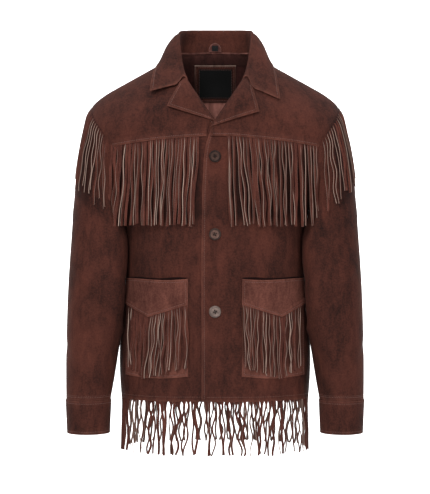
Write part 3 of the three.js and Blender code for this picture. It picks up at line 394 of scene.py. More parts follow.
def nap_group():
    """Brushed suede: broad patches where the nap lies differently, fine fibre, paler borders that are partly rubbed
    and partly painted highlight, and painted shade.
    """
    name = "suede_nap"
    if name in bpy.data.node_groups:
        return bpy.data.node_groups[name]
    g = bpy.data.node_groups.new(name, "ShaderNodeTree")
    for key, way, kind in (("Dark", "INPUT", "Color"), ("Light", "INPUT", "Color"), ("Edge", "INPUT", "Color"),
                           ("Patch", "INPUT", "Float"), ("Wear", "INPUT", "Float"),
                           ("Color", "OUTPUT", "Color"), ("Height", "OUTPUT", "Float")):
        g.interface.new_socket(name=key, in_out=way, socket_type=f"NodeSocket{kind}")
    given = add_node(g, "NodeGroupInput", {}).outputs
    place = add_node(g, "ShaderNodeTexCoord", {}, "Object")

    def noise(scale, detail, roughness, distortion=0.0, stretch=None):
        at = add_node(g, "ShaderNodeMapping", {"Vector": place, "Scale": stretch}, "Vector") if stretch else place
        return add_node(g, "ShaderNodeTexNoise", {"Vector": at, "Scale": scale, "Detail": detail,
                                                  "Roughness": roughness, "Distortion": distortion}, "Fac")

    def spread(value, low, high, to_low=0.0):
        return add_node(g, "ShaderNodeMapRange", {"Value": value, "From Min": low, "From Max": high,
                                                  "To Min": to_low, "To Max": 1.0}, "Result")

    broad = spread(noise(given["Patch"], 2.0, 0.5, 0.4, (1.0, 1.0, 0.6)), 0.34, 0.66)
    brushed = spread(noise(70.0, 3.0, 0.6, 0.9, (1.0, 1.0, 0.35)), 0.36, 0.64)
    fine, grain = noise(900.0, 2.0, 0.7), noise(330.0, 2.0, 0.7, 0.3)
    shade = None
    for part, share in ((broad, 0.38), (brushed, 0.28), (spread(grain, 0.36, 0.64), 0.34)):
        part = math_node(g, "MULTIPLY", part, share)
        shade = part if shade is None else math_node(g, "ADD", shade, part)
    color = blend(g, "MIX", shade, given["Dark"], given["Light"])
    # paler borders from the mesh's attribute: partly rubbed, partly painted highlight on edges, and painted light
    # inside the back
    rubbed = math_node(g, "MULTIPLY", mesh_value(g, "wear"), given["Wear"])
    color = blend(g, "MIX", math_node(g, "MULTIPLY", rubbed, spread(brushed, 0.0, 1.0, 0.45)), color, given["Edge"])
    # painted shade: the shade attribute darkens the colour towards dark brown where shade falls under fringe, in
    # pocket mouths and low in the neck
    color = blend(g, "MULTIPLY", mesh_value(g, "shade"), color, (0.16, 0.11, 0.09, 1.0))
    height = math_node(g, "ADD", math_node(g, "MULTIPLY", fine, 0.35), math_node(g, "MULTIPLY", grain, 0.65))
    add_node(g, "NodeGroupOutput", {"Color": color, "Height": height})
    return g


def new_material(name):
    material = bpy.data.materials.new(name)
    material.use_nodes = True
    material.node_tree.nodes.clear()
    return material, material.node_tree


def surface(tree, color, height, bump, distance, inputs):
    """The shader of a material: its colour, the relief of a height, and its other inputs."""
    normal = add_node(tree, "ShaderNodeBump", {"Strength": bump, "Distance": distance, "Height": height}, "Normal")
    shader = add_node(tree, "ShaderNodeBsdfPrincipled", {"Base Color": color, "Normal": normal, **inputs}, "BSDF")
    add_node(tree, "ShaderNodeOutputMaterial", {"Surface": shader})


def suede(name, dark, light, edge, wear, patch=15.0, bump=0.35, sheen=0.06, raw=None):
    """A suede material. raw is the colour of cut edges, shown where the piece's raw attribute says so."""
    material, tree = new_material(name)
    nap = add_node(tree, "ShaderNodeGroup", {"Dark": linear(dark), "Light": linear(light), "Edge": linear(edge),
                                             "Patch": patch, "Wear": wear}, node_tree=nap_group()).outputs
    color = nap["Color"] if raw is None else blend(tree, "MIX", mesh_value(tree, "raw"), nap["Color"], linear(raw))
    surface(tree, color, nap["Height"], bump, 0.0006, {
        "Roughness": 0.92, "Specular IOR Level": 0.1, "Sheen Weight": sheen, "Sheen Roughness": 0.45,
        "Sheen Tint": linear(edge)})
    return material


def plain(name, color, roughness, scale=2500.0, vary=0.25, bump=0.3, specular=0.5, wave=False):
    """A small hard or woven finish: colour that varies a little, and fine relief."""
    material, tree = new_material(name)
    inputs = {"Vector": add_node(tree, "ShaderNodeTexCoord", {}, "Object"), "Scale": scale}
    if wave:
        pattern = add_node(tree, "ShaderNodeTexWave", {**inputs, "Distortion": 0.4}, "Fac", bands_direction="Z")
    else:
        pattern = add_node(tree, "ShaderNodeTexNoise", {**inputs, "Detail": 3.0}, "Fac")
    ramp = add_node(tree, "ShaderNodeValToRGB", {"Fac": pattern})
    base = np.array(linear(color)[:3])
    for element, position, share in zip(ramp.color_ramp.elements, (0.3, 0.7), (1 - vary, 1 + vary)):
        element.position, element.color = position, (*np.clip(base * share, 0, 1), 1)
    surface(tree, ramp.outputs["Color"], pattern, bump, 0.0004, {
        "Roughness": roughness, "Specular IOR Level": specular})
    return material


def paint(name):
    """A material by its plain name, made the first time that it is asked for."""
    if name in bpy.data.materials:
        return bpy.data.materials[name]
    c = bpy.context.scene.jacket_colours
    # how much lighter a button's hollow middle is than its rim
    dishes = {"horn": 1.85, "grey_horn": 1.8, "pale_horn": 1.12}
    # dark and light colour, colour and strength of the paler borders (partly rubbed, partly painted highlight),
    # patches in a metre, bump, sheen and the colour of cut edges
    suedes = {
        "brushed_suede": (c.suede_dark, c.suede_light, c.rubbed_and_highlit_edge, 0.36),
        "pocket_suede": (c.pocket_dark, c.pocket_light, c.rubbed_and_highlit_edge, 0.3),
        "flesh": (c.flesh_dark, c.flesh_light, c.pocket_pale, 0.9, 30.0, 0.5),
        "patch_leather": (c.flesh_dark, c.suede_light, c.raw_edge, 0.85),
        "strand": (c.strand_dark, c.strand_light, c.rubbed_and_highlit_edge, 0.2, 60.0, 0.35, 0.05, c.raw_edge),
    }
    # colour, roughness, pattern's scale and strength, bump, shine and whether it is woven
    finishes = {
        "thread": (c.thread, 0.7),
        "button_thread": ((0.045, 0.028, 0.023), 0.7, 2500.0, 0.25, 0.3, 0.2),
        "tape": (c.tape, 0.75, 1500.0, 0.3, 0.4, 0.15, True),
        "floor": ((0.93, 0.93, 0.93), 0.9, 3.0, 0.01, 0.0, 0.1),
    }
    if name in suedes:
        return suede(name, *suedes[name])
    if name in finishes:
        return plain(name, *finishes[name])
    horn = name.removesuffix("_dish")
    share = dishes[horn] if name != horn else 1.0
    return plain(name, [share * v for v in getattr(c, horn)], 0.6, 160.0, 0.4, 0.05, 0.08)


# ---- grids of the pieces ----
def front_grid(side, rows, shares):
    """Points of a front: rows from 0 (hem) over 1 (armpit) to 2 (shoulder seam), shares across from its edge."""
    r, f = grid_of(rows, shares)
    low = r <= 1
    z_low = mix(HEM_Z, PIT_Z, np.minimum(r, 1))
    x_low = mix(along(FRONT_EDGE, z_low, 1), along(BODY, z_low, 1) - SIDE_GAP, f)
    level = np.clip(r - 1, 0, 1)

    def rise(start, yoke, end):
        above = mix(yoke, end, (level - YOKE_LEVEL) / (1 - YOKE_LEVEL))
        return np.where(level <= YOKE_LEVEL, mix(start, yoke, level / YOKE_LEVEL), above)

    edge = along(FRONT_EDGE, rise(PIT_Z, YOKE_CENTRE_Z, NECK_Z), 1)
    x_high = mix(edge, armhole_x(mix(PIT_Z, TIP_Z, level)), f)
    z_high = rise(PIT_Z, yoke_edge_z(x_high), shoulder_z(mix(NECK_X, TIP_X, f)))
    p = on_front(side, np.where(low, x_low, x_high), np.where(low, z_low, z_high))
    p[..., 1] = np.minimum(p[..., 1], np.where(low, -SHOULDER_GAP, SHOULDER_Y - SHOULDER_GAP))
    return to_side(side, p)


def back_grid(rows, shares):
    r, f = grid_of(rows, shares)
    low = r <= 1
    z_low = mix(HEM_Z, PIT_Z, np.minimum(r, 1))
    x_low = f * (along(BODY, z_low, 1) - SIDE_GAP)
    level = np.clip(r - 1, 0, 1)
    top_x = TIP_X * np.abs(f)
    x_high = f * armhole_x(mix(PIT_Z, TIP_Z, level), True)
    z_high = mix(PIT_Z, np.where(top_x < NECK_X, neck_top(top_x), shoulder_z(top_x)), level)
    x, z = np.where(low, x_low, x_high), np.where(low, z_low, z_high)
    y = np.maximum(back_y(x, z), SHOULDER_GAP)
    y = np.where((r > 1.9999) & (np.abs(x) > NECK_X - 1), SHOULDER_Y + SHOULDER_GAP, y)
    return np.stack([x, y, z], -1)


def neck_top(x):
    return NECK_Z + NECK_RISE * np.maximum(0, 1 - (x / NECK_X) ** 2)


def sleeve_points(ring, angle, creases=True):
    """Points of the wearer's left sleeve: ring from 0 (armhole) to 11 (end), angle 0 on its outer side."""
    c, sn = np.cos(angle), np.sin(angle)
    outer_x, outer_z, inner_x, inner_z, middle_y, half_depth, forward, keep = (
        along(SLEEVE, ring, column) for column in range(1, 9))
    toward, inner = (1 + c) / 2, ((1 - c) / 2) ** 3
    x = mix(inner_x, outer_x, toward)
    y = middle_y - sn * half_depth + forward * inner
    z = mix(inner_z, outer_z, toward)
    az = mix(PIT_Z, TIP_Z, toward)
    on_back = sn < -1e-9
    ax = np.where(on_back, armhole_x(az, True), armhole_x(az))
    ay = np.where(on_back, back_y(ax, az), front_y(ax, az))
    first = SLEEVE[0]
    x = x + keep * (ax - mix(first[3], first[1], toward) + mix(0.45, 3.4, inner))
    y = y + keep * (ay - first[5] + sn * first[6])
    degrees = np.degrees(np.arctan2(sn, c))
    fold = 0
    for folds, lean, deep in ((SLEEVE_FOLDS, 0, 1), (SLEEVE_CREASES, 0.006, 2.0))[:1 + creases]:
        for fold_ring, fold_angle, long, wide, depth in folds:
            apart = ((degrees - fold_angle + 540) % 360) - 180
            place = ((ring - fold_ring - lean * apart) / long) ** 2 + (apart / wide) ** 2
            fold = fold + deep * depth * np.exp(-place)
    return np.stack([x + fold * c, y - fold * sn, z], -1)


def sleeve_frame(ring, angle):
    """Point, outward normal and the two slopes of the sleeve at a ring and angle."""
    e = 0.01
    p = sleeve_points(ring, angle, False)
    along_sleeve = (sleeve_points(ring + e, angle, False) - p) / e
    around = (sleeve_points(ring, angle + e, False) - p) / e
    n = unit(np.cross(along_sleeve, around))
    centre = np.stack([np.full(n.shape[:-1], 215.0), np.zeros(n.shape[:-1]), p[..., 2] - 60], -1)
    flip = np.sign(np.sum(n * (p - centre), -1, keepdims=True))
    return p, n * flip, along_sleeve, around


def bend_through(rows, count):
    """A smooth surface through a few rows of points, resampled evenly between them."""
    rows = np.asarray(rows)
    key = lengths(rows).mean(1)
    at = np.unique(np.concatenate([np.linspace(0, key[-1], count), key[-1] - EDGE_STEPS]))
    made = [along(np.column_stack([key, column]), at, 1) for column in rows.reshape(len(rows), -1).T]
    return np.stack(made, 1).reshape(len(at), *rows.shape[1:])


def mirror_x(side, p):
    return p if side > 0 else (p * np.array([-1.0, 1.0, 1.0]))[:, ::-1]


# ---- sewing ----
STITCHES = []


def size(name):
    """One of the panel's sizes, in millimetres."""
    return getattr(bpy.context.scene.jacket_sizes, name) * 1000


def interp_all(at, key, values):
    """Rows of values, such as points, at places along a key."""
    return np.stack([np.interp(at, key, values[:, axis]) for axis in range(values.shape[1])], -1)


def sew(line, normals):
    """Stitches along a line of points on the cloth, kept until they are all made as one piece."""
    pitch = size("stitch_pitch")
    key = lengths(line)
    count = int(key[-1] // pitch)
    for k in range(count if count > 1 else 0):
        a, b = ((k + share) * pitch for share in STITCH_SPAN)
        normal = unit(interp_all((a + b) / 2, key, normals))
        STITCHES.append((interp_all(a, key, line), interp_all(b, key, line), normal))


def sew_grid(p, thick, inset=EDGE_INSET, sides=ALL_SIDES, face=(0, -1, 0), ring=False):
    """Stitch lines at an inset from the named borders of a piece's grid."""
    n = grid_normals(p, ring, face)[0]
    top = p + n * (thick / 2 - STITCH_SINK)
    for side in ALL_SIDES:
        if side not in sides:
            continue
        rows, start = side in ("bottom", "top"), side in ("bottom", "left")
        grid, normals = (top, n) if rows else (top.transpose(1, 0, 2), n.transpose(1, 0, 2))
        reach = lengths(p) if rows else lengths(p, 1).T
        at = np.full(reach.shape[1], inset) if start else reach[-1] - inset
        line = np.array([interp_all(at[k], reach[:, k], grid[:, k]) for k in range(len(at))])
        normals = normals[0 if start else -1]
        if ring:
            line, normals = closed(line[None], True)[0], closed(normals[None], True)[0]
        else:
            key = lengths(line)
            kept = (key > inset) & (key < key[-1] - inset)
            line, normals = line[kept], normals[kept]
        sew(line, normals)


def stitches_mesh(name):
    """All stitches: short thread lengths, rounded at both ends, half sunk in the cloth."""
    radius = size("thread_width") / 2
    points, faces = [], []
    for a, b, normal in STITCHES:
        run = unit(b - a)
        side = unit(np.cross(run, normal))
        up = np.cross(side, run)
        base = len(points)
        for t, grow, drop in ((0.0, 0.35, -0.35), (0.2, 1.0, 0.0), (0.8, 1.0, 0.0), (1.0, 0.35, -0.35)):
            centre = a + (b - a) * t + up * drop * radius * 1.4
            for sx, sy in ((1, -0.6), (0.7, 0.8), (-0.7, 0.8), (-1, -0.6)):
                points.append(centre + (side * sx + up * sy) * radius * grow)
        for k in range(3):
            for c in range(4):
                q = base + 4 * k + c
                w = base + 4 * k + (c + 1) % 4
                faces.append((q, q + 4, w + 4, w))
        faces.append((base, base + 1, base + 2, base + 3))
        faces.append((base + 15, base + 14, base + 13, base + 12))
    return mesh_object(name, np.array(points), faces, ["thread"])


# ---- fringe ----
def ribbons(name, paths, facings, widths, thick, twists, pale, uncut=0.0):
    """Flat suede strips along paths: paths and facings are strands by points by 3. Cut edges are marked raw."""
    count, length = paths.shape[:2]
    pale = np.broadcast_to(pale, count)
    run = unit(np.gradient(paths, axis=1))
    across = unit(np.cross(run, facings))
    face = np.cross(across, run)
    turn = twists[..., None]
    across, face = across * np.cos(turn) + face * np.sin(turn), face * np.cos(turn) - across * np.sin(turn)
    s = np.linspace(0, 1, length)
    width = widths[:, None] * (1 - 0.1 * smooth(0.9, 1.0, s) + uncut * (1 - smooth(0.03, 0.13, s)))[None]
    w, t = width[..., None] / 2, thick / 2
    outline = ((-1, -0.9), (-1, 0.7), (0, 1), (1, 0.7), (1, -0.9))
    corners = [paths + across * w * i + face * t * j for i, j in outline]
    sides = len(corners)
    points = np.stack(corners, 2).reshape(-1, 3)
    ids = np.arange(count * length * sides).reshape(count, length, sides)
    root = smooth(0.0, 0.04, (s[:-1] + s[1:]) / 2)
    faces, raw = [], []
    for k, paleness in enumerate((1.0, 0.0, 0.0, 1.0, 0.5)):
        m = (k + 1) % sides
        faces.append(np.stack([ids[:, :-1, k], ids[:, 1:, k], ids[:, 1:, m], ids[:, :-1, m]], -1).reshape(-1, 4))
        raw.append((paleness * pale[:, None] * root).ravel())
    caps = [list(ids[n, 0]) for n in range(count)] + [list(ids[n, -1, ::-1]) for n in range(count)]
    faces, raw = np.concatenate(faces), np.concatenate([*raw, np.zeros(count), 0.9 * pale])
    middle = points[faces].mean(1)
    outward = np.cross(points[faces[:, 1]] - points[faces[:, 0]], points[faces[:, 3]] - points[faces[:, 0]])
    if np.mean(np.sum(outward * (middle - paths.reshape(-1, 3)[faces[:, 0] // sides]), -1) > 0) < 0.5:
        faces, caps = faces[:, ::-1], [cap[::-1] for cap in caps]
    return mesh_object(name, points, [list(q) for q in faces] + caps, ["strand"], None,
                       {"wear": ("POINT", np.full(len(points), 0.15)), "raw": ("FACE", raw)})


def strand_ways(kind, side=0, reach=1.0):
    """Count, drift, twist and length of a row of strands: neighbours lean together, some bunch, a few cross."""
    count, seed = FRINGES[kind][0], FRINGES[kind][1] + side
    rng = np.random.default_rng(seed)
    s = np.linspace(0, 1, 20)
    n = np.arange(count)[:, None]
    own = rng.uniform(-1, 1, (count, 5))
    drift = 8.0 * ripple(0.21 * n, 0.4 + 0.7 * s, seed) * s ** 0.85 + 4.0 * own[:, 2:3] * s ** 1.3
    wave = np.sin(2 * math.pi * ((1.7 + 0.7 * own[:, 3:4]) * s + own[:, 1:2]))
    drift = drift + (1.2 + 0.8 * own[:, :1]) * wave * smooth(0, 0.25, s)
    lit = np.sign(np.sin(0.55 * n + 1.3 * np.sin(0.9 * n + seed) + seed) + 0.5)
    wave = np.sin(2 * math.pi * (0.8 + 0.4 * own[:, 4:5]) * s + 5 * own[:, 3:4])
    twist = (0.62 + 0.3 * own[:, 1:2]) * lit * smooth(0.0, 0.08, s) + 0.24 * wave * smooth(0.05, 0.5, s)
    length = 1 + 0.014 * own[:, 3] + 0.01 * np.sin(0.9 * np.arange(count))
    return count, s, drift * reach, twist, length, rng


def line_along(points, shares):
    key = lengths(points)
    return interp_all(np.asarray(shares) * key[-1], key, points)


def layer_order(count):
    """Which of its neighbours each strand lies over, evenly spread from 0 to 1."""
    return (np.arange(count)[:, None] * GOLDEN) % 1


def front_fringe(kind, name, side, root_line, lift, length_of_strand, lean):
    """Strands that hang down a front from a line of roots given as x and z."""
    count, s, drift, twist, length, rng = strand_ways(kind, side)
    shares = (np.arange(count) + 0.5 + rng.uniform(-0.18, 0.18, count)) / count
    roots = line_along(root_line, shares)
    x0, z0 = roots[:, :1], roots[:, 1:]
    x = x0 + drift + lean * s ** 1.2
    z = z0 - s * (length_of_strand(z0) * length[:, None])
    inside = np.minimum(x, along(BODY, z, 1) - 1.5)
    order = layer_order(count)
    out = lift(s) + (2.6 * order + 0.8 * np.sin(5 * s + 9 * order)) * smooth(0.05, 0.35, s)
    p = on_front(side, inside, z) + normal_of(front_y, side * inside, z) * out[..., None]
    p[..., 1] = mix(p[..., 1], np.minimum.accumulate(p[..., 1], axis=1), 0.9)
    p[..., 0] = side * x
    facing = np.broadcast_to(normal_of(front_y, side * x0, z0), p.shape)
    widths = size("fringe_width") * rng.uniform(0.85, 1.1, count)
    pale = rng.uniform(0.3, 1, count) * (0.72 if side > 0 else 1.1)
    obj = ribbons(f"{kind}_fringe_{name}_strands", p, facing, widths, size("fringe_thickness"), twist, pale)
    attach(obj, f"{kind}_fringe_{name}")


# ---- settings ----
def colour(name, description, default):
    return bpy.props.FloatVectorProperty(
        name=name, description=description, subtype="COLOR", size=3, min=0, max=1, default=default)


def length_of(name, description, default):
    return bpy.props.FloatProperty(
        name=name, description=description, default=default, min=0.0001, subtype="DISTANCE", unit="LENGTH")


class JacketSizes(bpy.types.PropertyGroup):
    suede_thickness: length_of("Suede", "Thickness of the body's suede", 0.0015)
    collar_thickness: length_of("Collar", "Thickness of the two layers of the collar and lapels", 0.0024)
    fringe_width: length_of("Fringe width", "Width of one cut strand", 0.0053)
    fringe_thickness: length_of("Fringe thickness", "Thickness of one cut strand", 0.0016)
    stitch_pitch: length_of("Stitch pitch", "Distance from one stitch to the next", 0.0034)
    thread_width: length_of("Thread", "Width of the sewing thread", 0.0009)


class JacketColours(bpy.types.PropertyGroup):
    suede_dark: colour("Suede, dark", "Where the nap is brushed down", (0.072, 0.028, 0.021))
    suede_light: colour("Suede, light", "Where the nap catches light", (0.262, 0.132, 0.100))
    # the pockets and their trim are a lighter copy of the suede: partly their own tone, partly painted highlight
    pocket_dark: colour("Pocket, dark", "Dark patches of the pockets and their trim", (0.165, 0.078, 0.060))
    pocket_light: colour("Pocket, light", "Light patches of the pockets and their trim", (0.350, 0.205, 0.170))
    flesh_dark: colour("Inside, dark", "Dark patches of the suede's inner side", (0.080, 0.032, 0.027))
    flesh_light: colour("Inside, light", "Light patches of the suede's inner side", (0.195, 0.092, 0.080))
    strand_dark: colour("Strand, dark", "Dark parts of the fringe", (0.150, 0.066, 0.052))
    strand_light: colour("Strand, light", "Light parts of the fringe", (0.290, 0.155, 0.125))
    # paler colour of the inside: its rubbed borders, and painted light on the inside of the back below the label patch
    pocket_pale: colour("Inside, rubbed", "Paler part of the inside, below the label patch", (0.560, 0.370, 0.330))
    raw_edge: colour("Cut edge", "The pale core of the suede where it is cut", (0.570, 0.492, 0.448))
    # paler borders, partly rubbed and partly painted highlight on edges and ridges
    rubbed_and_highlit_edge: colour("Rubbed edge", "Borders that are rubbed paler", (0.400, 0.245, 0.205))
    thread: colour("Thread", "Sewing thread", (0.290, 0.165, 0.135))
    tape: colour("Tape", "Woven label and size tab", (0.018, 0.020, 0.020))
    horn: colour("Buttons", "The top button, of dark horn", (0.105, 0.072, 0.060))
    grey_horn: colour("Middle button", "The middle button, whose horn is greyer", (0.160, 0.120, 0.106))
    pale_horn: colour("Lowest button", "The lowest button, whose horn is paler", (0.315, 0.270, 0.252))


class JacketPiece:
    bl_options = {"REGISTER", "UNDO"}

    @property
    def thick(self):
        return size("suede_thickness")


def body_rows():
    mouth = (np.arange(POCKET_TOP - 8.0, POCKET_TOP + 5.0) - HEM_Z) / (PIT_Z - HEM_Z)
    low = np.unique(np.concatenate([steps(96, 360, ends=(True, False)), mouth]).round(7))
    return np.concatenate([low, 1 + steps(72, 300, ends=(False, True))[1:]])


def mouth_rise(f):
    """How far the cut of a pocket's mouth stands above the trim's sagging edge."""
    return 1.2 * np.sin(3.0 * math.pi * np.clip(f, 0, 1)) - 0.6


def pocket_mouth(f, z):
    """1 on the part of a front that shows in the shade of a pocket's mouth."""
    cut = POCKET_TOP + mouth_rise(f)
    mouth = smooth(cut + 1.6, cut + 0.4, z) * smooth(POCKET_TOP - 12, POCKET_TOP - 6, z)
    return mouth * smooth(0.0, 0.03, f) * (1 - smooth(0.97, 1.0, f))


class JACKET_OT_body(JacketPiece, bpy.types.Operator):
    """Back and fronts, as worn"""
    bl_idname = "jacket.body"
    bl_label = "Body"

    def execute(self, context):
        back = back_grid(body_rows(), np.sin((1 - 2 * steps(96, 380)) * math.pi / 2))
        # painted light: a paler band on the inside of the back, below the label patch
        painted_light_below_patch = smooth(-61, -70, back[..., 2]) * smooth(-190, -120, back[..., 2])
        dress("back_cloth", "back", back, self.thick, "hung", face=(0, 1, 0), pucker=0.12, inner_wear=painted_light_below_patch)
        for name, side in SIDES:
            p = front_grid(side, body_rows(), np.sin(steps(56, 205) * math.pi / 2))
            x, z = side * p[..., 0], p[..., 2]
            # painted shade on each front: under the chest fringe below the yoke, and in the shade of each pocket's
            # mouth
            below = smooth(0, 10, yoke_edge_z(x) - z) * smooth(CHEST_TIP_Z - 3, CHEST_TIP_Z + 22, z)
            painted_shade = 0.75 * below * smooth(22, 30, x) * (1 - smooth(194, 200, x))
            painted_shade = np.maximum(painted_shade, pocket_mouth((x - POCKET_INNER) / (168 - POCKET_INNER), z))
            edge = "left" if side > 0 else "right"
            dress(f"front_{name}_cloth", f"front_{name}", p, self.thick, "hung", groove=GROOVE, pucker=0.18,
                  shade=painted_shade, sewn=("bottom", edge))
            sew_grid(p, self.thick, sides=(edge,))
            sew_grid(p, self.thick, inset=HEM_INSET, sides=("bottom",))
        sew_grid(back, self.thick, inset=HEM_INSET, sides=("bottom",), face=(0, 1, 0))
        return {"FINISHED"}


def yoke_points(side, rows, shares):
    r, f = grid_of(rows, shares)
    level = YOKE_LEVEL + r * (0.997 - YOKE_LEVEL)
    share = (level - YOKE_LEVEL) / (1 - YOKE_LEVEL)
    roll_z = mix(YOKE_CENTRE_Z, NECK_Z, share)
    start = along(FRONT_EDGE, roll_z, 1) + 2.2
    if side < 0:
        start = np.maximum(start, mix(15.5, 8.0, smooth(-143, -112, roll_z)))
    x = mix(start, armhole_x(mix(PIT_Z, TIP_Z, level)) - 3.0, f)
    z = mix(yoke_edge_z(x), shoulder_z(mix(NECK_X + 1, TIP_X - 3, f)), share)
    above = z - yoke_edge_z(x)
    lift = LAYER + 1.7 * (1 - smooth(7.5, 13, above)) * (1 - smooth(0.9, 1, f)) - 0.7 * smooth(0.95, 1, f)
    p = on_front(side, x, z, lift)
    p[..., 1] = np.minimum(p[..., 1], SHOULDER_Y - 0.6)
    return to_side(side, p)


class JACKET_OT_yokes(JacketPiece, bpy.types.Operator):
    """Front yokes, whose lower edges cover the roots of the chest fringe"""
    bl_idname = "jacket.yokes"
    bl_label = "Yokes"

    def execute(self, context):
        for name, side in SIDES:
            p = yoke_points(side, steps(52, 190), steps(60, 215))
            dress(f"yoke_{name}_cloth", f"yoke_{name}", p, self.thick, "laid", [f"front_{name}_cloth"],
                  groove=GROOVE, groove_at=PANEL_INSET, pucker=0.22, sewn=("bottom",))
            sew_grid(p, self.thick, inset=PANEL_INSET, sides=("bottom",))
        return {"FINISHED"}


def lapel_points(side, rows, shares):
    foot_z, gorge_z, point_x, point_z, notch_x, notch_z = LAPELS[side]
    a, b = grid_of(rows, shares)
    b = mix(-0.045, 1, b)
    roll_z = mix(foot_z, gorge_z, a)
    roll_x = along(FRONT_EDGE, roll_z, 1)
    edge_x, edge_z = mix(point_x, notch_x, a), mix(point_z, notch_z, a)
    x, z = mix(roll_x, edge_x, b), mix(roll_z, edge_z, b)
    kept = np.maximum(b, 0.06)
    held_x, held_z = mix(roll_x, edge_x, kept), mix(roll_z, edge_z, kept)
    lift = mix(1.9, 2 * LAYER + 0.9, smooth(-0.05, 0.1, b) ** 0.6) + 3.2 * smooth(0.35, 1, b) * (1 - 0.4 * a)
    swell = 4.5 * np.sin(math.pi * np.clip(b, 0, 1)) * np.sin(math.pi * mix(0.15, 0.9, a))
    p = on_front(side, held_x, held_z, lift + swell)
    p[..., 0] += side * (x - held_x)
    p[..., 2] += z - held_z
    return to_side(side, p)


class JACKET_OT_lapels(JacketPiece, bpy.types.Operator):
    """Lapels turned back along the roll lines"""
    bl_idname = "jacket.lapels"
    bl_label = "Lapels"

    def execute(self, context):
        for name, side in SIDES:
            p = lapel_points(side, steps(40, 90), steps(40, 80))
            sewn = ("bottom", "right" if side > 0 else "left")
            dress(f"lapel_{name}_cloth", f"lapel_{name}", p, self.thick, "folded", [f"yoke_{name}_cloth"],
                  groove=GROOVE, pucker=0.15, slots=(0, 0), sewn=sewn)
            sew_grid(p, self.thick, sides=sewn)
        return {"FINISHED"}


def neckline_points(side):
    """The neck seam from the middle of the back to the gorge of one front."""
    x = TIP_X * np.linspace(0, NECK_X / TIP_X, 24)
    on_back = np.stack([side * x, back_y(x, neck_top(x)), neck_top(x)], -1)
    z = np.linspace(NECK_Z, -38, 24)
    return np.concatenate([on_back, on_front(side, along(FRONT_EDGE, z, 1), z)[1:]])


def collar_points(stations):
    """Rows of the collar from the neck seam over its fold to its outer edge, at stations from -1 to 1."""
    st = np.abs(stations)
    c = [along(COLLAR, st, k) for k in range(7)]
    sign = np.where(stations < 0, -1.0, 1.0)
    fold, edge = (np.stack([sign * c[k], c[k + 1], c[k + 2]], -1) for k in (1, 4))
    out = unit((edge - fold) * LEVEL)
    fold[:, 0] += np.where(sign > 0, 6.0, 0.5) * np.exp(-(((st - 0.42) / 0.22) ** 2))
    seam = np.empty_like(fold)
    for side in (1, -1):
        seam[sign == side] = line_along(neckline_points(side), st[sign == side])
    seam = seam - out * 1.2
    seam[:, 2] += 1.5
    stand = np.linalg.norm(fold - seam, axis=-1, keepdims=True)
    drop = np.minimum(3.2, stand * 0.3)
    over = fold + out * 4.6 - UP * drop
    rows = [seam, mix(seam, fold, 0.5) + out * 0.8, mix(fold, seam, drop / stand) - out * 0.6, fold + out * 1.8, over]
    tilt = np.where(sign > 0, -9.5, 6.5) * smooth(0.75, 1, st)
    ends = smooth(0.86, 1, st)
    for t in (0.08, 0.18, 0.3, 0.45, 0.62, 0.8, 1.0):
        bulge = (47 * t ** 0.82 * (1 - t) ** 1.5 * (1 - 0.85 * st ** 5))[:, None]
        pulled = (7.0 * smooth(0.4, 1, t) * np.exp(-(((st - 0.55) / 0.18) ** 2)))[:, None]
        row = mix(over, edge, t) + out * (bulge * 0.8 + 1.8 * t - pulled) + 0.35 * UP * bulge
        row[:, 2:3] += 0.45 * pulled
        drop = np.where(sign > 0, 18.5, 12.2) * (1 - t) * min(1, t / 0.13) * ends
        row[:, 2] += tilt * t - drop
        row[:, 1] -= 0.62 * drop + (1.5 * min(1, t / 0.15) + np.where(sign > 0, 5.5, 2.5) * t) * ends
        rows.append(row)
    return rows


def neck_seam_points():
    """The gathered seam allowance, its heights, and how far it is rubbed pale along the roll at its top."""
    heights = np.concatenate([np.linspace(7.5, 27, 16), [28.2, 29.2, 30.0, 30.7, 31.2]])
    level, across = grid_of(heights, np.linspace(-1, 1, 170))
    x, z = -70 * across, level - 5 * across ** 2
    y = back_y(x, z)
    inward = -unit(np.stack([x / NECK_X ** 2, (y - SHOULDER_Y) / 82 ** 2, np.zeros_like(x)], -1))
    gathers = ripple(x / 3.1, z / 16, 4) * smooth(12, 27, level)
    roll = 1.6 * np.sqrt(np.clip(1 - ((level - 29.4) / 1.9) ** 2, 0, 1)) * (1 + 0.35 * ripple(x / 2.3, z, 6))
    rubbed = 0.1 + 0.42 * np.exp(-(((level - 29.6) / 1.3) ** 2)) * (0.75 + 0.5 * ripple(x / 4, z, 8))
    return np.stack([x, y, z], -1) + inward * (2.1 + 0.5 * gathers + roll)[..., None], level, rubbed


class JACKET_OT_collar(JacketPiece, bpy.types.Operator):
    """Collar, and the seam allowance that is turned down below its stand"""
    bl_idname = "jacket.collar"
    bl_label = "Collar"

    def execute(self, context):
        p = bend_through(collar_points(2 * steps(120, 430) - 1), 60)
        thick = size("collar_thickness") * 0.75
        dress("collar_cloth", "collar", p, thick, "folded", ["back_cloth"], face=(0, 0, 1), groove=GROOVE, pucker=0.2,
              slots=(0, 0), sewn=("top", "left", "right"))
        sew_grid(p, thick, sides=("top",), face=(0, 0, 1))
        p, level, rubbed = neck_seam_points()
        # painted shade, darker towards the bottom of the turned-down seam allowance
        dress("neck_seam_allowance", None, p, 0.7, "folded", ["back_cloth"], slots=(1, 1), wear_by=rubbed,
              wear_reach=30.0, shade=0.6 * (1 - smooth(8, 26, level)))
        return {"FINISHED"}


def cuff_points(angles):
    end = SLEEVE[-1]
    s, b = grid_of(steps(18, 64), angles)
    grow = mix(1.1, -1.2, s) + 0.35 * ripple(4 * np.cos(b), 3 * s + 2 * np.sin(b), 2)
    return np.stack([(end[1] + end[3]) / 2 + np.cos(b) * ((end[1] - end[3]) / 2 + grow),
                     end[5] - np.sin(b) * (end[6] + grow), mix(CUFF_TOP, CUFF_END, s)], -1)


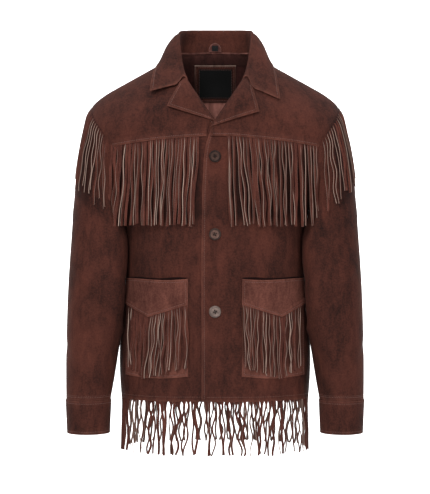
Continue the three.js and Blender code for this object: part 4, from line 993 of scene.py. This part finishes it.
class JACKET_OT_sleeves(JacketPiece, bpy.types.Operator):
    """Sleeves bent at the elbow, and their cuffs"""
    bl_idname = "jacket.sleeves"
    bl_label = "Sleeves"

    def execute(self, context):
        angles = np.linspace(0, 2 * math.pi, 80, endpoint=False)
        tube = sleeve_points(*grid_of(steps(150, 560) * 11, -angles))
        inward = unit(tube[0].mean(0) - tube[0])
        tucked = [tube[0] + inward * depth + np.array([-shift, 0, 0]) for depth, shift in ((6.5, 4.0), (2.6, 2.0))]
        tube = np.concatenate([np.stack(tucked), tube])
        around = np.degrees(np.abs((angles + math.pi) % (2 * math.pi) - math.pi))[None]
        tips = -243 - 48 * np.clip(around / ARMHOLE_REACH, 0, 1)
        for name, side in SIDES:
            p, q = mirror_x(side, tube), mirror_x(side, cuff_points(-angles))
            # painted shade on the sleeve under the armhole fringe
            painted_shade = 0.62 * smooth(tips - 2, tips + 16, p[..., 2])
            painted_shade = painted_shade * (1 - smooth(60, 74, around)) * smooth(12, 40, around)
            dress(f"sleeve_{name}_cloth", f"sleeve_{name}", p, self.thick, "hung", ring=True, pucker=0.25, groove=0.5,
                  groove_at=CUFF_INSET[0], sewn=("top",), shade=to_side(side, painted_shade))
            for inset in CUFF_INSET:
                sew_grid(p, self.thick, inset=inset, ring=True, sides=("top",))
            dress(f"cuff_{name}_cloth", f"cuff_{name}", q, self.thick * 1.1, "hung", ring=True, groove=0.35,
                  pucker=0.12)
            sew_grid(q, self.thick, ring=True, sides=("bottom", "top"))
        return {"FINISHED"}


def pocket_x(f, z):
    share = np.clip((z - POCKET_BOTTOM) / (POCKET_TOP - POCKET_BOTTOM), 0, 1)
    return mix(POCKET_INNER, mix(*POCKET_OUTER, share), f)


def pocket_swell(f, z):
    return 1.3 * np.sin(math.pi * f) * smooth(POCKET_BOTTOM, POCKET_TOP, z)


def trim_z(f):
    rise = np.where(f < TRIM_POINT, f / TRIM_POINT, (1 - f) / (1 - TRIM_POINT))
    return POCKET_TOP - mix(TRIM_SIDE_DEPTH, TRIM_POINT_DEPTH, rise)


class JACKET_OT_pockets(JacketPiece, bpy.types.Operator):
    """Patch pockets and the pointed trim over them"""
    bl_idname = "jacket.pockets"
    bl_label = "Pockets"

    def execute(self, context):
        look = {"groove": GROOVE, "groove_at": PANEL_INSET, "pucker": 0.18, "paints": ("pocket_suede", "flesh")}
        for name, side in SIDES:
            t, f = grid_of(steps(44, 185), steps(34, 118))
            z = mix(POCKET_BOTTOM - 4 * np.sin(math.pi * f), POCKET_TOP - 6, t)
            p = on_front(side, pocket_x(f, z), z, LAYER + pocket_swell(f, z))
            # painted shade on the pocket under the fringe of its trim
            painted_shade = 0.6 * smooth(0, 8, trim_z(f) - z) * smooth(0, 25, z - trim_z(f) + POCKET_FRINGE)
            p, painted_shade = to_side(side, p, painted_shade)
            dress(f"pocket_{name}_cloth", f"pocket_{name}", p, self.thick, "laid", [f"front_{name}_cloth"],
                  shade=painted_shade, **look)
            sew_grid(p, self.thick, inset=PANEL_INSET, sides=("left", "right", "bottom"))
            t, f = grid_of(steps(26, 62), np.unique(np.append(steps(38, 118), TRIM_POINT)))
            sag = 1.2 + 1.8 * np.sin(math.pi * f) ** 0.7 + 0.9 * np.sin(2 * math.pi * f)
            z = mix(trim_z(f), POCKET_TOP - sag, t)
            lift = 2 * LAYER + 0.15 + pocket_swell(f, POCKET_TOP) + 1.55 * (1 - smooth(7, 12, z - trim_z(f)))
            gape = 1.6 * smooth(0.75, 1, t) * np.sin(math.pi * f)
            p = to_side(side, on_front(side, pocket_x(f, z), z, lift + gape))
            dress(f"pocket_trim_{name}_cloth", f"pocket_trim_{name}", p, self.thick, "laid", [f"pocket_{name}_cloth"],
                  sewn=("top", "bottom"), **look)
            sew_grid(p, self.thick, inset=PANEL_INSET)
        return {"FINISHED"}


class JACKET_OT_fringe(JacketPiece, bpy.types.Operator):
    """Cut fringe of the chest, armholes, pockets and hem"""
    bl_idname = "jacket.fringe"
    bl_label = "Fringe"

    def execute(self, context):
        for name, side in SIDES:
            x = np.linspace(20 if side > 0 else 28, 197, 60)
            front_fringe("chest", name, side, np.column_stack([x, yoke_edge_z(x) + ROOT_OVERLAP]),
                         lambda s: LAYER + 0.2 + 1.8 * smooth(0.02, 0.3, s), lambda z0: z0 - CHEST_TIP_Z, 5.0)
            f = np.linspace(0.02, 0.98, 60)
            swell = float(pocket_swell(0.5, POCKET_TOP))
            front_fringe("pocket", name, side, np.column_stack([pocket_x(f, trim_z(f)), trim_z(f) + ROOT_OVERLAP]),
                         lambda s: 2 * LAYER + 0.2 + swell * (1 - 0.3 * s) + 1.2 * smooth(0.02, 0.3, s),
                         lambda z0: POCKET_FRINGE + ROOT_OVERLAP, 1.5)
            self.armhole(name, side)
        self.hem()
        return {"FINISHED"}

    def walk_down(self, angle, step):
        """Points and normals down the sleeve from each root, a step apart, for strands that lie on it."""
        ring = np.full(len(angle), 0.2)
        walk, facing = [], []
        for _ in range(int((ARMHOLE_FRINGE + 10) * 1.05 / step)):
            p, n, alongs, around = sleeve_frame(ring, angle)
            walk.append(p)
            facing.append(n)
            down = unit(n * n[:, 2:3] - UP)
            a, b, c = np.sum(alongs ** 2, -1), np.sum(alongs * around, -1), np.sum(around ** 2, -1)
            u, v = np.sum(down * alongs, -1), np.sum(down * around, -1)
            det = a * c - b * b
            ring = ring + step * (u * c - v * b) / det
            angle = angle + step * (v * a - u * b) / det
        return np.stack(walk, 1), np.stack(facing, 1)

    def armhole(self, name, side):
        count, s, drift, twist, length, rng = strand_ways("armhole", side)
        reach, step = math.radians(ARMHOLE_REACH), 2.5
        fine = np.linspace(reach, -reach, 200)
        key = lengths(sleeve_points(np.full(200, 0.5), fine, False))
        angle = np.interp((np.arange(count) + 0.5) / count * key[-1], key, fine)
        off_top = np.degrees(np.abs(angle))
        on_top, at_the_ends = ARMHOLE_FRINGE + 10, ARMHOLE_FRINGE - 14
        whole = mix(on_top, at_the_ends, np.abs(angle) / reach)
        length = length * rng.uniform(0.9, 1.06, count)
        at = s * (whole * length)[:, None] / step
        p, n = (np.stack([interp_all(at[m], np.arange(grid.shape[1]), grid[m]) for m in range(count)])
                for grid in self.walk_down(angle, step))
        n = unit(n)
        across = unit(np.cross(n, UP))
        loose = smooth(10, 32, off_top)[:, None]
        drift = drift - 9.0 * smooth(30, 70, off_top)[:, None] * s ** 1.1 * np.sign(angle)[:, None]
        lift = 0.9 * smooth(0.1, 0.5, s) + 1.4 * layer_order(count) * smooth(0.1, 0.6, s)
        out = 0.4 + 1.1 * smooth(0.0, 0.1, s) + loose * lift
        p = p + n * out[..., None] + across * (drift * mix(0.4, 1, loose))[..., None]
        widths = size("fringe_width") * rng.uniform(0.55, 0.8, count)
        pale = 0.1 + rng.uniform(0.2, 0.6, count) * smooth(14, 40, off_top)
        obj = ribbons(f"armhole_fringe_{name}_strands", p * [side, 1, 1], n * [side, 1, 1], widths,
                      size("fringe_thickness") * 0.76, side * twist * 1.1 * loose, pale)
        attach(obj, f"armhole_fringe_{name}")

    def hem(self):
        hem_z, steps_across = HEM_Z + 5, 400
        x = (along(BODY, hem_z, 1) - 0.4) * np.sin(np.linspace(1, -1, steps_across) * math.pi / 2)
        y = np.maximum(back_y(x, np.full(steps_across, hem_z)), 0.4)
        lines = {"left": on_front(1, np.linspace(-23, 180.6, 300), hem_z),
                 "right": on_front(-1, np.linspace(30, 180.6, 300), hem_z),
                 "back": np.stack([x, y, np.full(steps_across, hem_z)], -1)}
        for name, line in lines.items():
            count, s, drift, twist, length, rng = strand_ways(name, reach=1.9)
            shares = (np.arange(count) + 0.5 + rng.uniform(-0.2, 0.2, count)) / count
            root, ahead = line_along(line, shares), line_along(line, np.minimum(shares + 0.004, 1))
            run = unit((ahead - root) * LEVEL)
            out = np.stack([run[:, 1], -run[:, 0], np.zeros(count)], -1)
            out *= np.sign(np.sum(out * root * LEVEL, -1, keepdims=True))
            out = out[:, None]
            lean = 2.4 * rng.uniform(-1, 1, (count, 1)) * s ** 1.5
            p = root[:, None] - out * 1.7 + out * (0.9 * smooth(0.1, 0.5, s) + lean)[..., None]
            p = p + run[:, None] * drift[..., None]
            p[..., 2] -= s * (HEM_FRINGE + 5) * length[:, None]
            widths = size("fringe_width") * 0.76 * rng.uniform(0.8, 1.25, count)
            obj = ribbons(f"hem_fringe_{name}_strands", p, np.broadcast_to(out, p.shape), widths,
                          size("fringe_thickness") * 0.8, twist, rng.uniform(0.1, 0.6, count), 0.95)
            attach(obj, f"hem_fringe_{name}")


class JACKET_OT_buttons(JacketPiece, bpy.types.Operator):
    """Four-hole buttons, sewn on with crossed thread"""
    bl_idname = "jacket.buttons"
    bl_label = "Buttons"

    def execute(self, context):
        for k, z in enumerate(BUTTON_ROWS):
            node = f"button_{k + 1}"
            disc, thread = self.disc(node), self.thread(node)
            for piece in (disc, thread):
                self.place(piece, z)
            attach(disc, node)
            attach(thread)
        return {"FINISHED"}

    def disc(self, node):
        radius, depth, hole_circle, hole_radius, dish_radius = 0.0112, 0.0022, 0.0027, 0.0014, 0.0079
        bpy.ops.mesh.primitive_cylinder_add(vertices=48, radius=radius, depth=depth, location=(0, 0, depth / 2))
        obj = bpy.context.object
        obj.name = f"{node}_disc"
        bpy.ops.object.mode_set(mode="EDIT")
        bpy.ops.mesh.select_mode(type="FACE")
        bpy.ops.mesh.select_all(action="DESELECT")
        bpy.ops.object.mode_set(mode="OBJECT")
        max(obj.data.polygons, key=lambda f: f.center.z).select = True
        bpy.ops.object.mode_set(mode="EDIT")
        for inset, rise in ((0.0012, 0.0011), (0.0016, 0), (0.0012, -0.0014)):
            bpy.ops.mesh.inset(thickness=inset)
            bpy.ops.transform.translate(value=(0, 0, rise))
        bpy.ops.object.mode_set(mode="OBJECT")
        bevel = obj.modifiers.new("rounded", "BEVEL")
        bevel.width, bevel.segments, bevel.limit_method, bevel.angle_limit = 0.00035, 3, "ANGLE", math.radians(25)
        bpy.ops.object.modifier_apply(modifier="rounded")
        for hole in range(4):
            angle = math.pi / 2 * hole + BUTTON_TURNS[node]
            bpy.ops.mesh.primitive_cylinder_add(
                vertices=16, radius=hole_radius, depth=0.01,
                location=(hole_circle * math.cos(angle), hole_circle * math.sin(angle), 0.002))
            cutter = bpy.context.object
            cut = obj.modifiers.new("hole", "BOOLEAN")
            cut.operation, cut.object, cut.solver = "DIFFERENCE", cutter, "EXACT"
            select(obj)
            bpy.ops.object.modifier_apply(modifier="hole")
            bpy.data.objects.remove(cutter, do_unlink=True)
        obj.data.materials.clear()
        for part in ("", "_dish"):
            obj.data.materials.append(paint(BUTTON_COLOURS[node] + part))
        for face in obj.data.polygons:
            face.material_index = int(math.hypot(face.center.x, face.center.y) < dish_radius)
        return obj

    def thread(self, node):
        threads = []
        for hole in range(2):
            bpy.ops.mesh.primitive_torus_add(
                major_segments=24, minor_segments=6, major_radius=0.0027, minor_radius=0.0005, location=(0, 0, 0.0016),
                rotation=(math.pi / 2, 0, BUTTON_TURNS[node] + hole * math.pi / 2))
            threads.append(bpy.context.object)
        select(*threads)
        bpy.ops.object.join()
        obj = bpy.context.object
        obj.name = f"{node}_thread"
        obj.data.materials.clear()
        obj.data.materials.append(paint("button_thread"))
        return obj

    def place(self, piece, z):
        """Sets a piece that was made lying flat on the front, at a height."""
        at = np.array([0.0]), np.array([float(z)])
        normal = normal_of(front_y, *at)[0]
        piece.rotation_mode = "XYZ"
        select(piece)
        bpy.ops.object.transform_apply(location=True, rotation=True, scale=True)
        piece.rotation_euler = (math.pi / 2 - math.atan2(normal[2], -normal[1]), 0, 0)
        piece.location = on_front(1, *at, BUTTON_LIFT)[0] * MM
        bpy.ops.object.transform_apply(location=True, rotation=True, scale=True)
        smooth_by_angle(piece, BUTTON_SMOOTH_DEGREES)


class JACKET_OT_inside(JacketPiece, bpy.types.Operator):
    """Leather patch with a bare woven label, and the hanging loop patch with a bare size tab"""
    bl_idname = "jacket.inside"
    bl_label = "Inside"

    def execute(self, context):
        # sides, bottom and top in millimetres, lift, thickness, inset of the stitches
        for name, node, x0, x1, z0, z1, lift, thick, kind, inset in (
                ("label_patch_cloth", "label_patch", -41, 42, -65, 7, LAYER, 1.4, "patch_leather", 4.2),
                ("label_tape", "label", -33, 35, -57, 0, LAYER + 1.5, 0.8, "tape", 1.3)):
            t, f = grid_of(steps(16, z1 - z0), steps(20, x1 - x0))
            x, z = mix(x1, x0, f), mix(z0, z1, t)
            p = np.stack([x, back_y(x, z), z], -1) + normal_of(back_y, x, z) * lift
            corner = smooth(x0 + 2.6, x0 + 1.2, x) * smooth(z1 - 40, z1 - 8, z)
            pale = 0.12 + 0.7 * smooth(z1 - 2.5, z1 - 1.2, z) + 0.25 * corner
            dress(name, node, p, thick, "laid", ["back_cloth"], groove=0.15, groove_at=inset, wear_reach=1.5,
                  pucker=0.05, slots=(0, 0), wear_by=pale, paints=(kind, kind))
            sew_grid(p, thick, inset=inset)
        # half width, bottom and top in millimetres, lift, thickness
        for name, node, half, low, high, lift, thick, kind, rounded in (
                ("loop_patch_cloth", "loop_patch", 12.5, 31.5, 50, 2.0, 1.0, "flesh", True),
                ("size_tab_tape", "size_tab", 6, 33, 44, 3.3, 0.8, "tape", False)):
            t, f = grid_of(steps(12, high - low), steps(22, 2 * half))
            a = 1 - 2 * f
            x, z = -a * half, low + t * (np.sqrt(1 - 0.93 * a * a) if rounded else 1) * (high - low)
            seam_y, fold_y = mix(64.5, 60.0, (x / 27) ** 2), mix(70, 65.6, (x / 29) ** 2)
            y = mix(seam_y - 1.2, fold_y, np.clip((z - 30) / 43, 0, 1)) - lift + 0.9
            p = np.stack([x, y, z], -1)
            dress(name, node, p, thick, "laid", ["collar_cloth"], groove=0.1, groove_at=1.8, slots=(0, 0),
                  wear_by=0.35, paints=(kind, kind))
            sew_grid(p, thick, inset=1.6)
        return {"FINISHED"}


class JACKET_OT_sewing(JacketPiece, bpy.types.Operator):
    """Topstitching of all pieces"""
    bl_idname = "jacket.sewing"
    bl_label = "Sewing"

    def execute(self, context):
        attach(stitches_mesh("topstitching"))
        return {"FINISHED"}


class JACKET_OT_stage(JacketPiece, bpy.types.Operator):
    """Pale floor and backdrop, soft lights and the camera"""
    bl_idname = "jacket.stage"
    bl_label = "Stage"

    def execute(self, context):
        scene = context.scene
        floor_z, bend_y, bend = -1.15, 3.0, 1.4
        profile = [(-7.0, floor_z), (bend_y, floor_z)]
        profile += [(bend_y + bend * math.sin(a), floor_z + bend * (1 - math.cos(a)))
                    for a in np.linspace(0, math.pi / 2, 16)[1:]]
        profile += [(bend_y + bend, 5.0)]
        points = [(x * 1000, y * 1000, z * 1000) for y, z in profile for x in (-7, 7)]
        faces = [(2 * k, 2 * k + 1, 2 * k + 3, 2 * k + 2) for k in range(len(profile) - 1)]
        mesh_object("floor", points, faces, ["floor"])
        world = bpy.data.worlds.new("studio")
        scene.world = world
        world.use_nodes = True
        world.node_tree.nodes["Background"].inputs["Color"].default_value = (1, 1, 1, 1)
        world.node_tree.nodes["Background"].inputs["Strength"].default_value = 0.7
        # place, width, power and the point it is aimed at
        for name, place, width, power, aim in (
                ("key", (-1.0, -2.6, 1.75), 1.0, 105, (0, 0, -0.25)),
                ("fill", (2.0, -2.7, 0.3), 2.2, 42, (0, 0, -0.4)),
                ("front", (0.1, -3.6, 0.35), 1.2, 22, (0, 0, -0.2)),
                ("top", (0, 0.1, 2.2), 1.8, 45, (0, 0, -0.3)),
                ("backdrop_left", (-2.6, 2.0, 0.4), 1.8, 150, (0, 4.4, 0.1)),
                ("backdrop_right", (2.6, 2.0, 0.4), 1.8, 150, (0, 4.4, 0.1))):
            light = bpy.data.lights.new(name, "AREA")
            light.shape, light.size, light.energy = "SQUARE", width, power
            obj = bpy.data.objects.new(name, light)
            scene.collection.objects.link(obj)
            obj.location = place
            direction = np.array(aim) - np.array(place)
            yaw = math.atan2(direction[1], direction[0]) - math.pi / 2
            pitch = math.atan2(direction[2], math.hypot(direction[0], direction[1]))
            obj.rotation_euler = (math.pi / 2 + pitch, 0, yaw)
        distance, height = 3.2, -0.356
        camera = bpy.data.cameras.new("camera")
        camera.sensor_width, camera.lens = 36, 119.6
        eye = bpy.data.objects.new("camera", camera)
        scene.collection.objects.link(eye)
        eye.location = (0, -distance, height)
        eye.rotation_euler = (math.pi / 2, 0, 0)
        scene.camera = eye
        scene.view_settings.view_transform = "Standard"
        return {"FINISHED"}


class JACKET_PT_panel(bpy.types.Panel):
    bl_idname = "JACKET_PT_panel"
    bl_label = "Suede fringe jacket"
    bl_space_type = "VIEW_3D"
    bl_region_type = "UI"
    bl_category = "Jacket"

    def draw(self, context):
        for operator in OPERATORS:
            self.layout.operator(operator.bl_idname)
        scene = context.scene
        for settings, group in ((scene.jacket_sizes, JacketSizes), (scene.jacket_colours, JacketColours)):
            box = self.layout.box()
            for key in group.__annotations__:
                box.prop(settings, key)


OPERATORS = (JACKET_OT_stage, JACKET_OT_body, JACKET_OT_yokes, JACKET_OT_lapels, JACKET_OT_collar, JACKET_OT_sleeves,
             JACKET_OT_pockets, JACKET_OT_fringe, JACKET_OT_buttons, JACKET_OT_inside, JACKET_OT_sewing)
CLASSES = (JacketSizes, JacketColours, *OPERATORS, JACKET_PT_panel)


def register():
    for cls in CLASSES:
        bpy.utils.register_class(cls)
    bpy.types.Scene.jacket_sizes = bpy.props.PointerProperty(type=JacketSizes)
    bpy.types.Scene.jacket_colours = bpy.props.PointerProperty(type=JacketColours)


def unregister():
    del bpy.types.Scene.jacket_colours
    del bpy.types.Scene.jacket_sizes
    for cls in reversed(CLASSES):
        bpy.utils.unregister_class(cls)


def main():
    register()
    for operator in OPERATORS:
        group, name = operator.bl_idname.split(".")
        getattr(getattr(bpy.ops, group), name)()


if __name__ == "__main__":
    main()
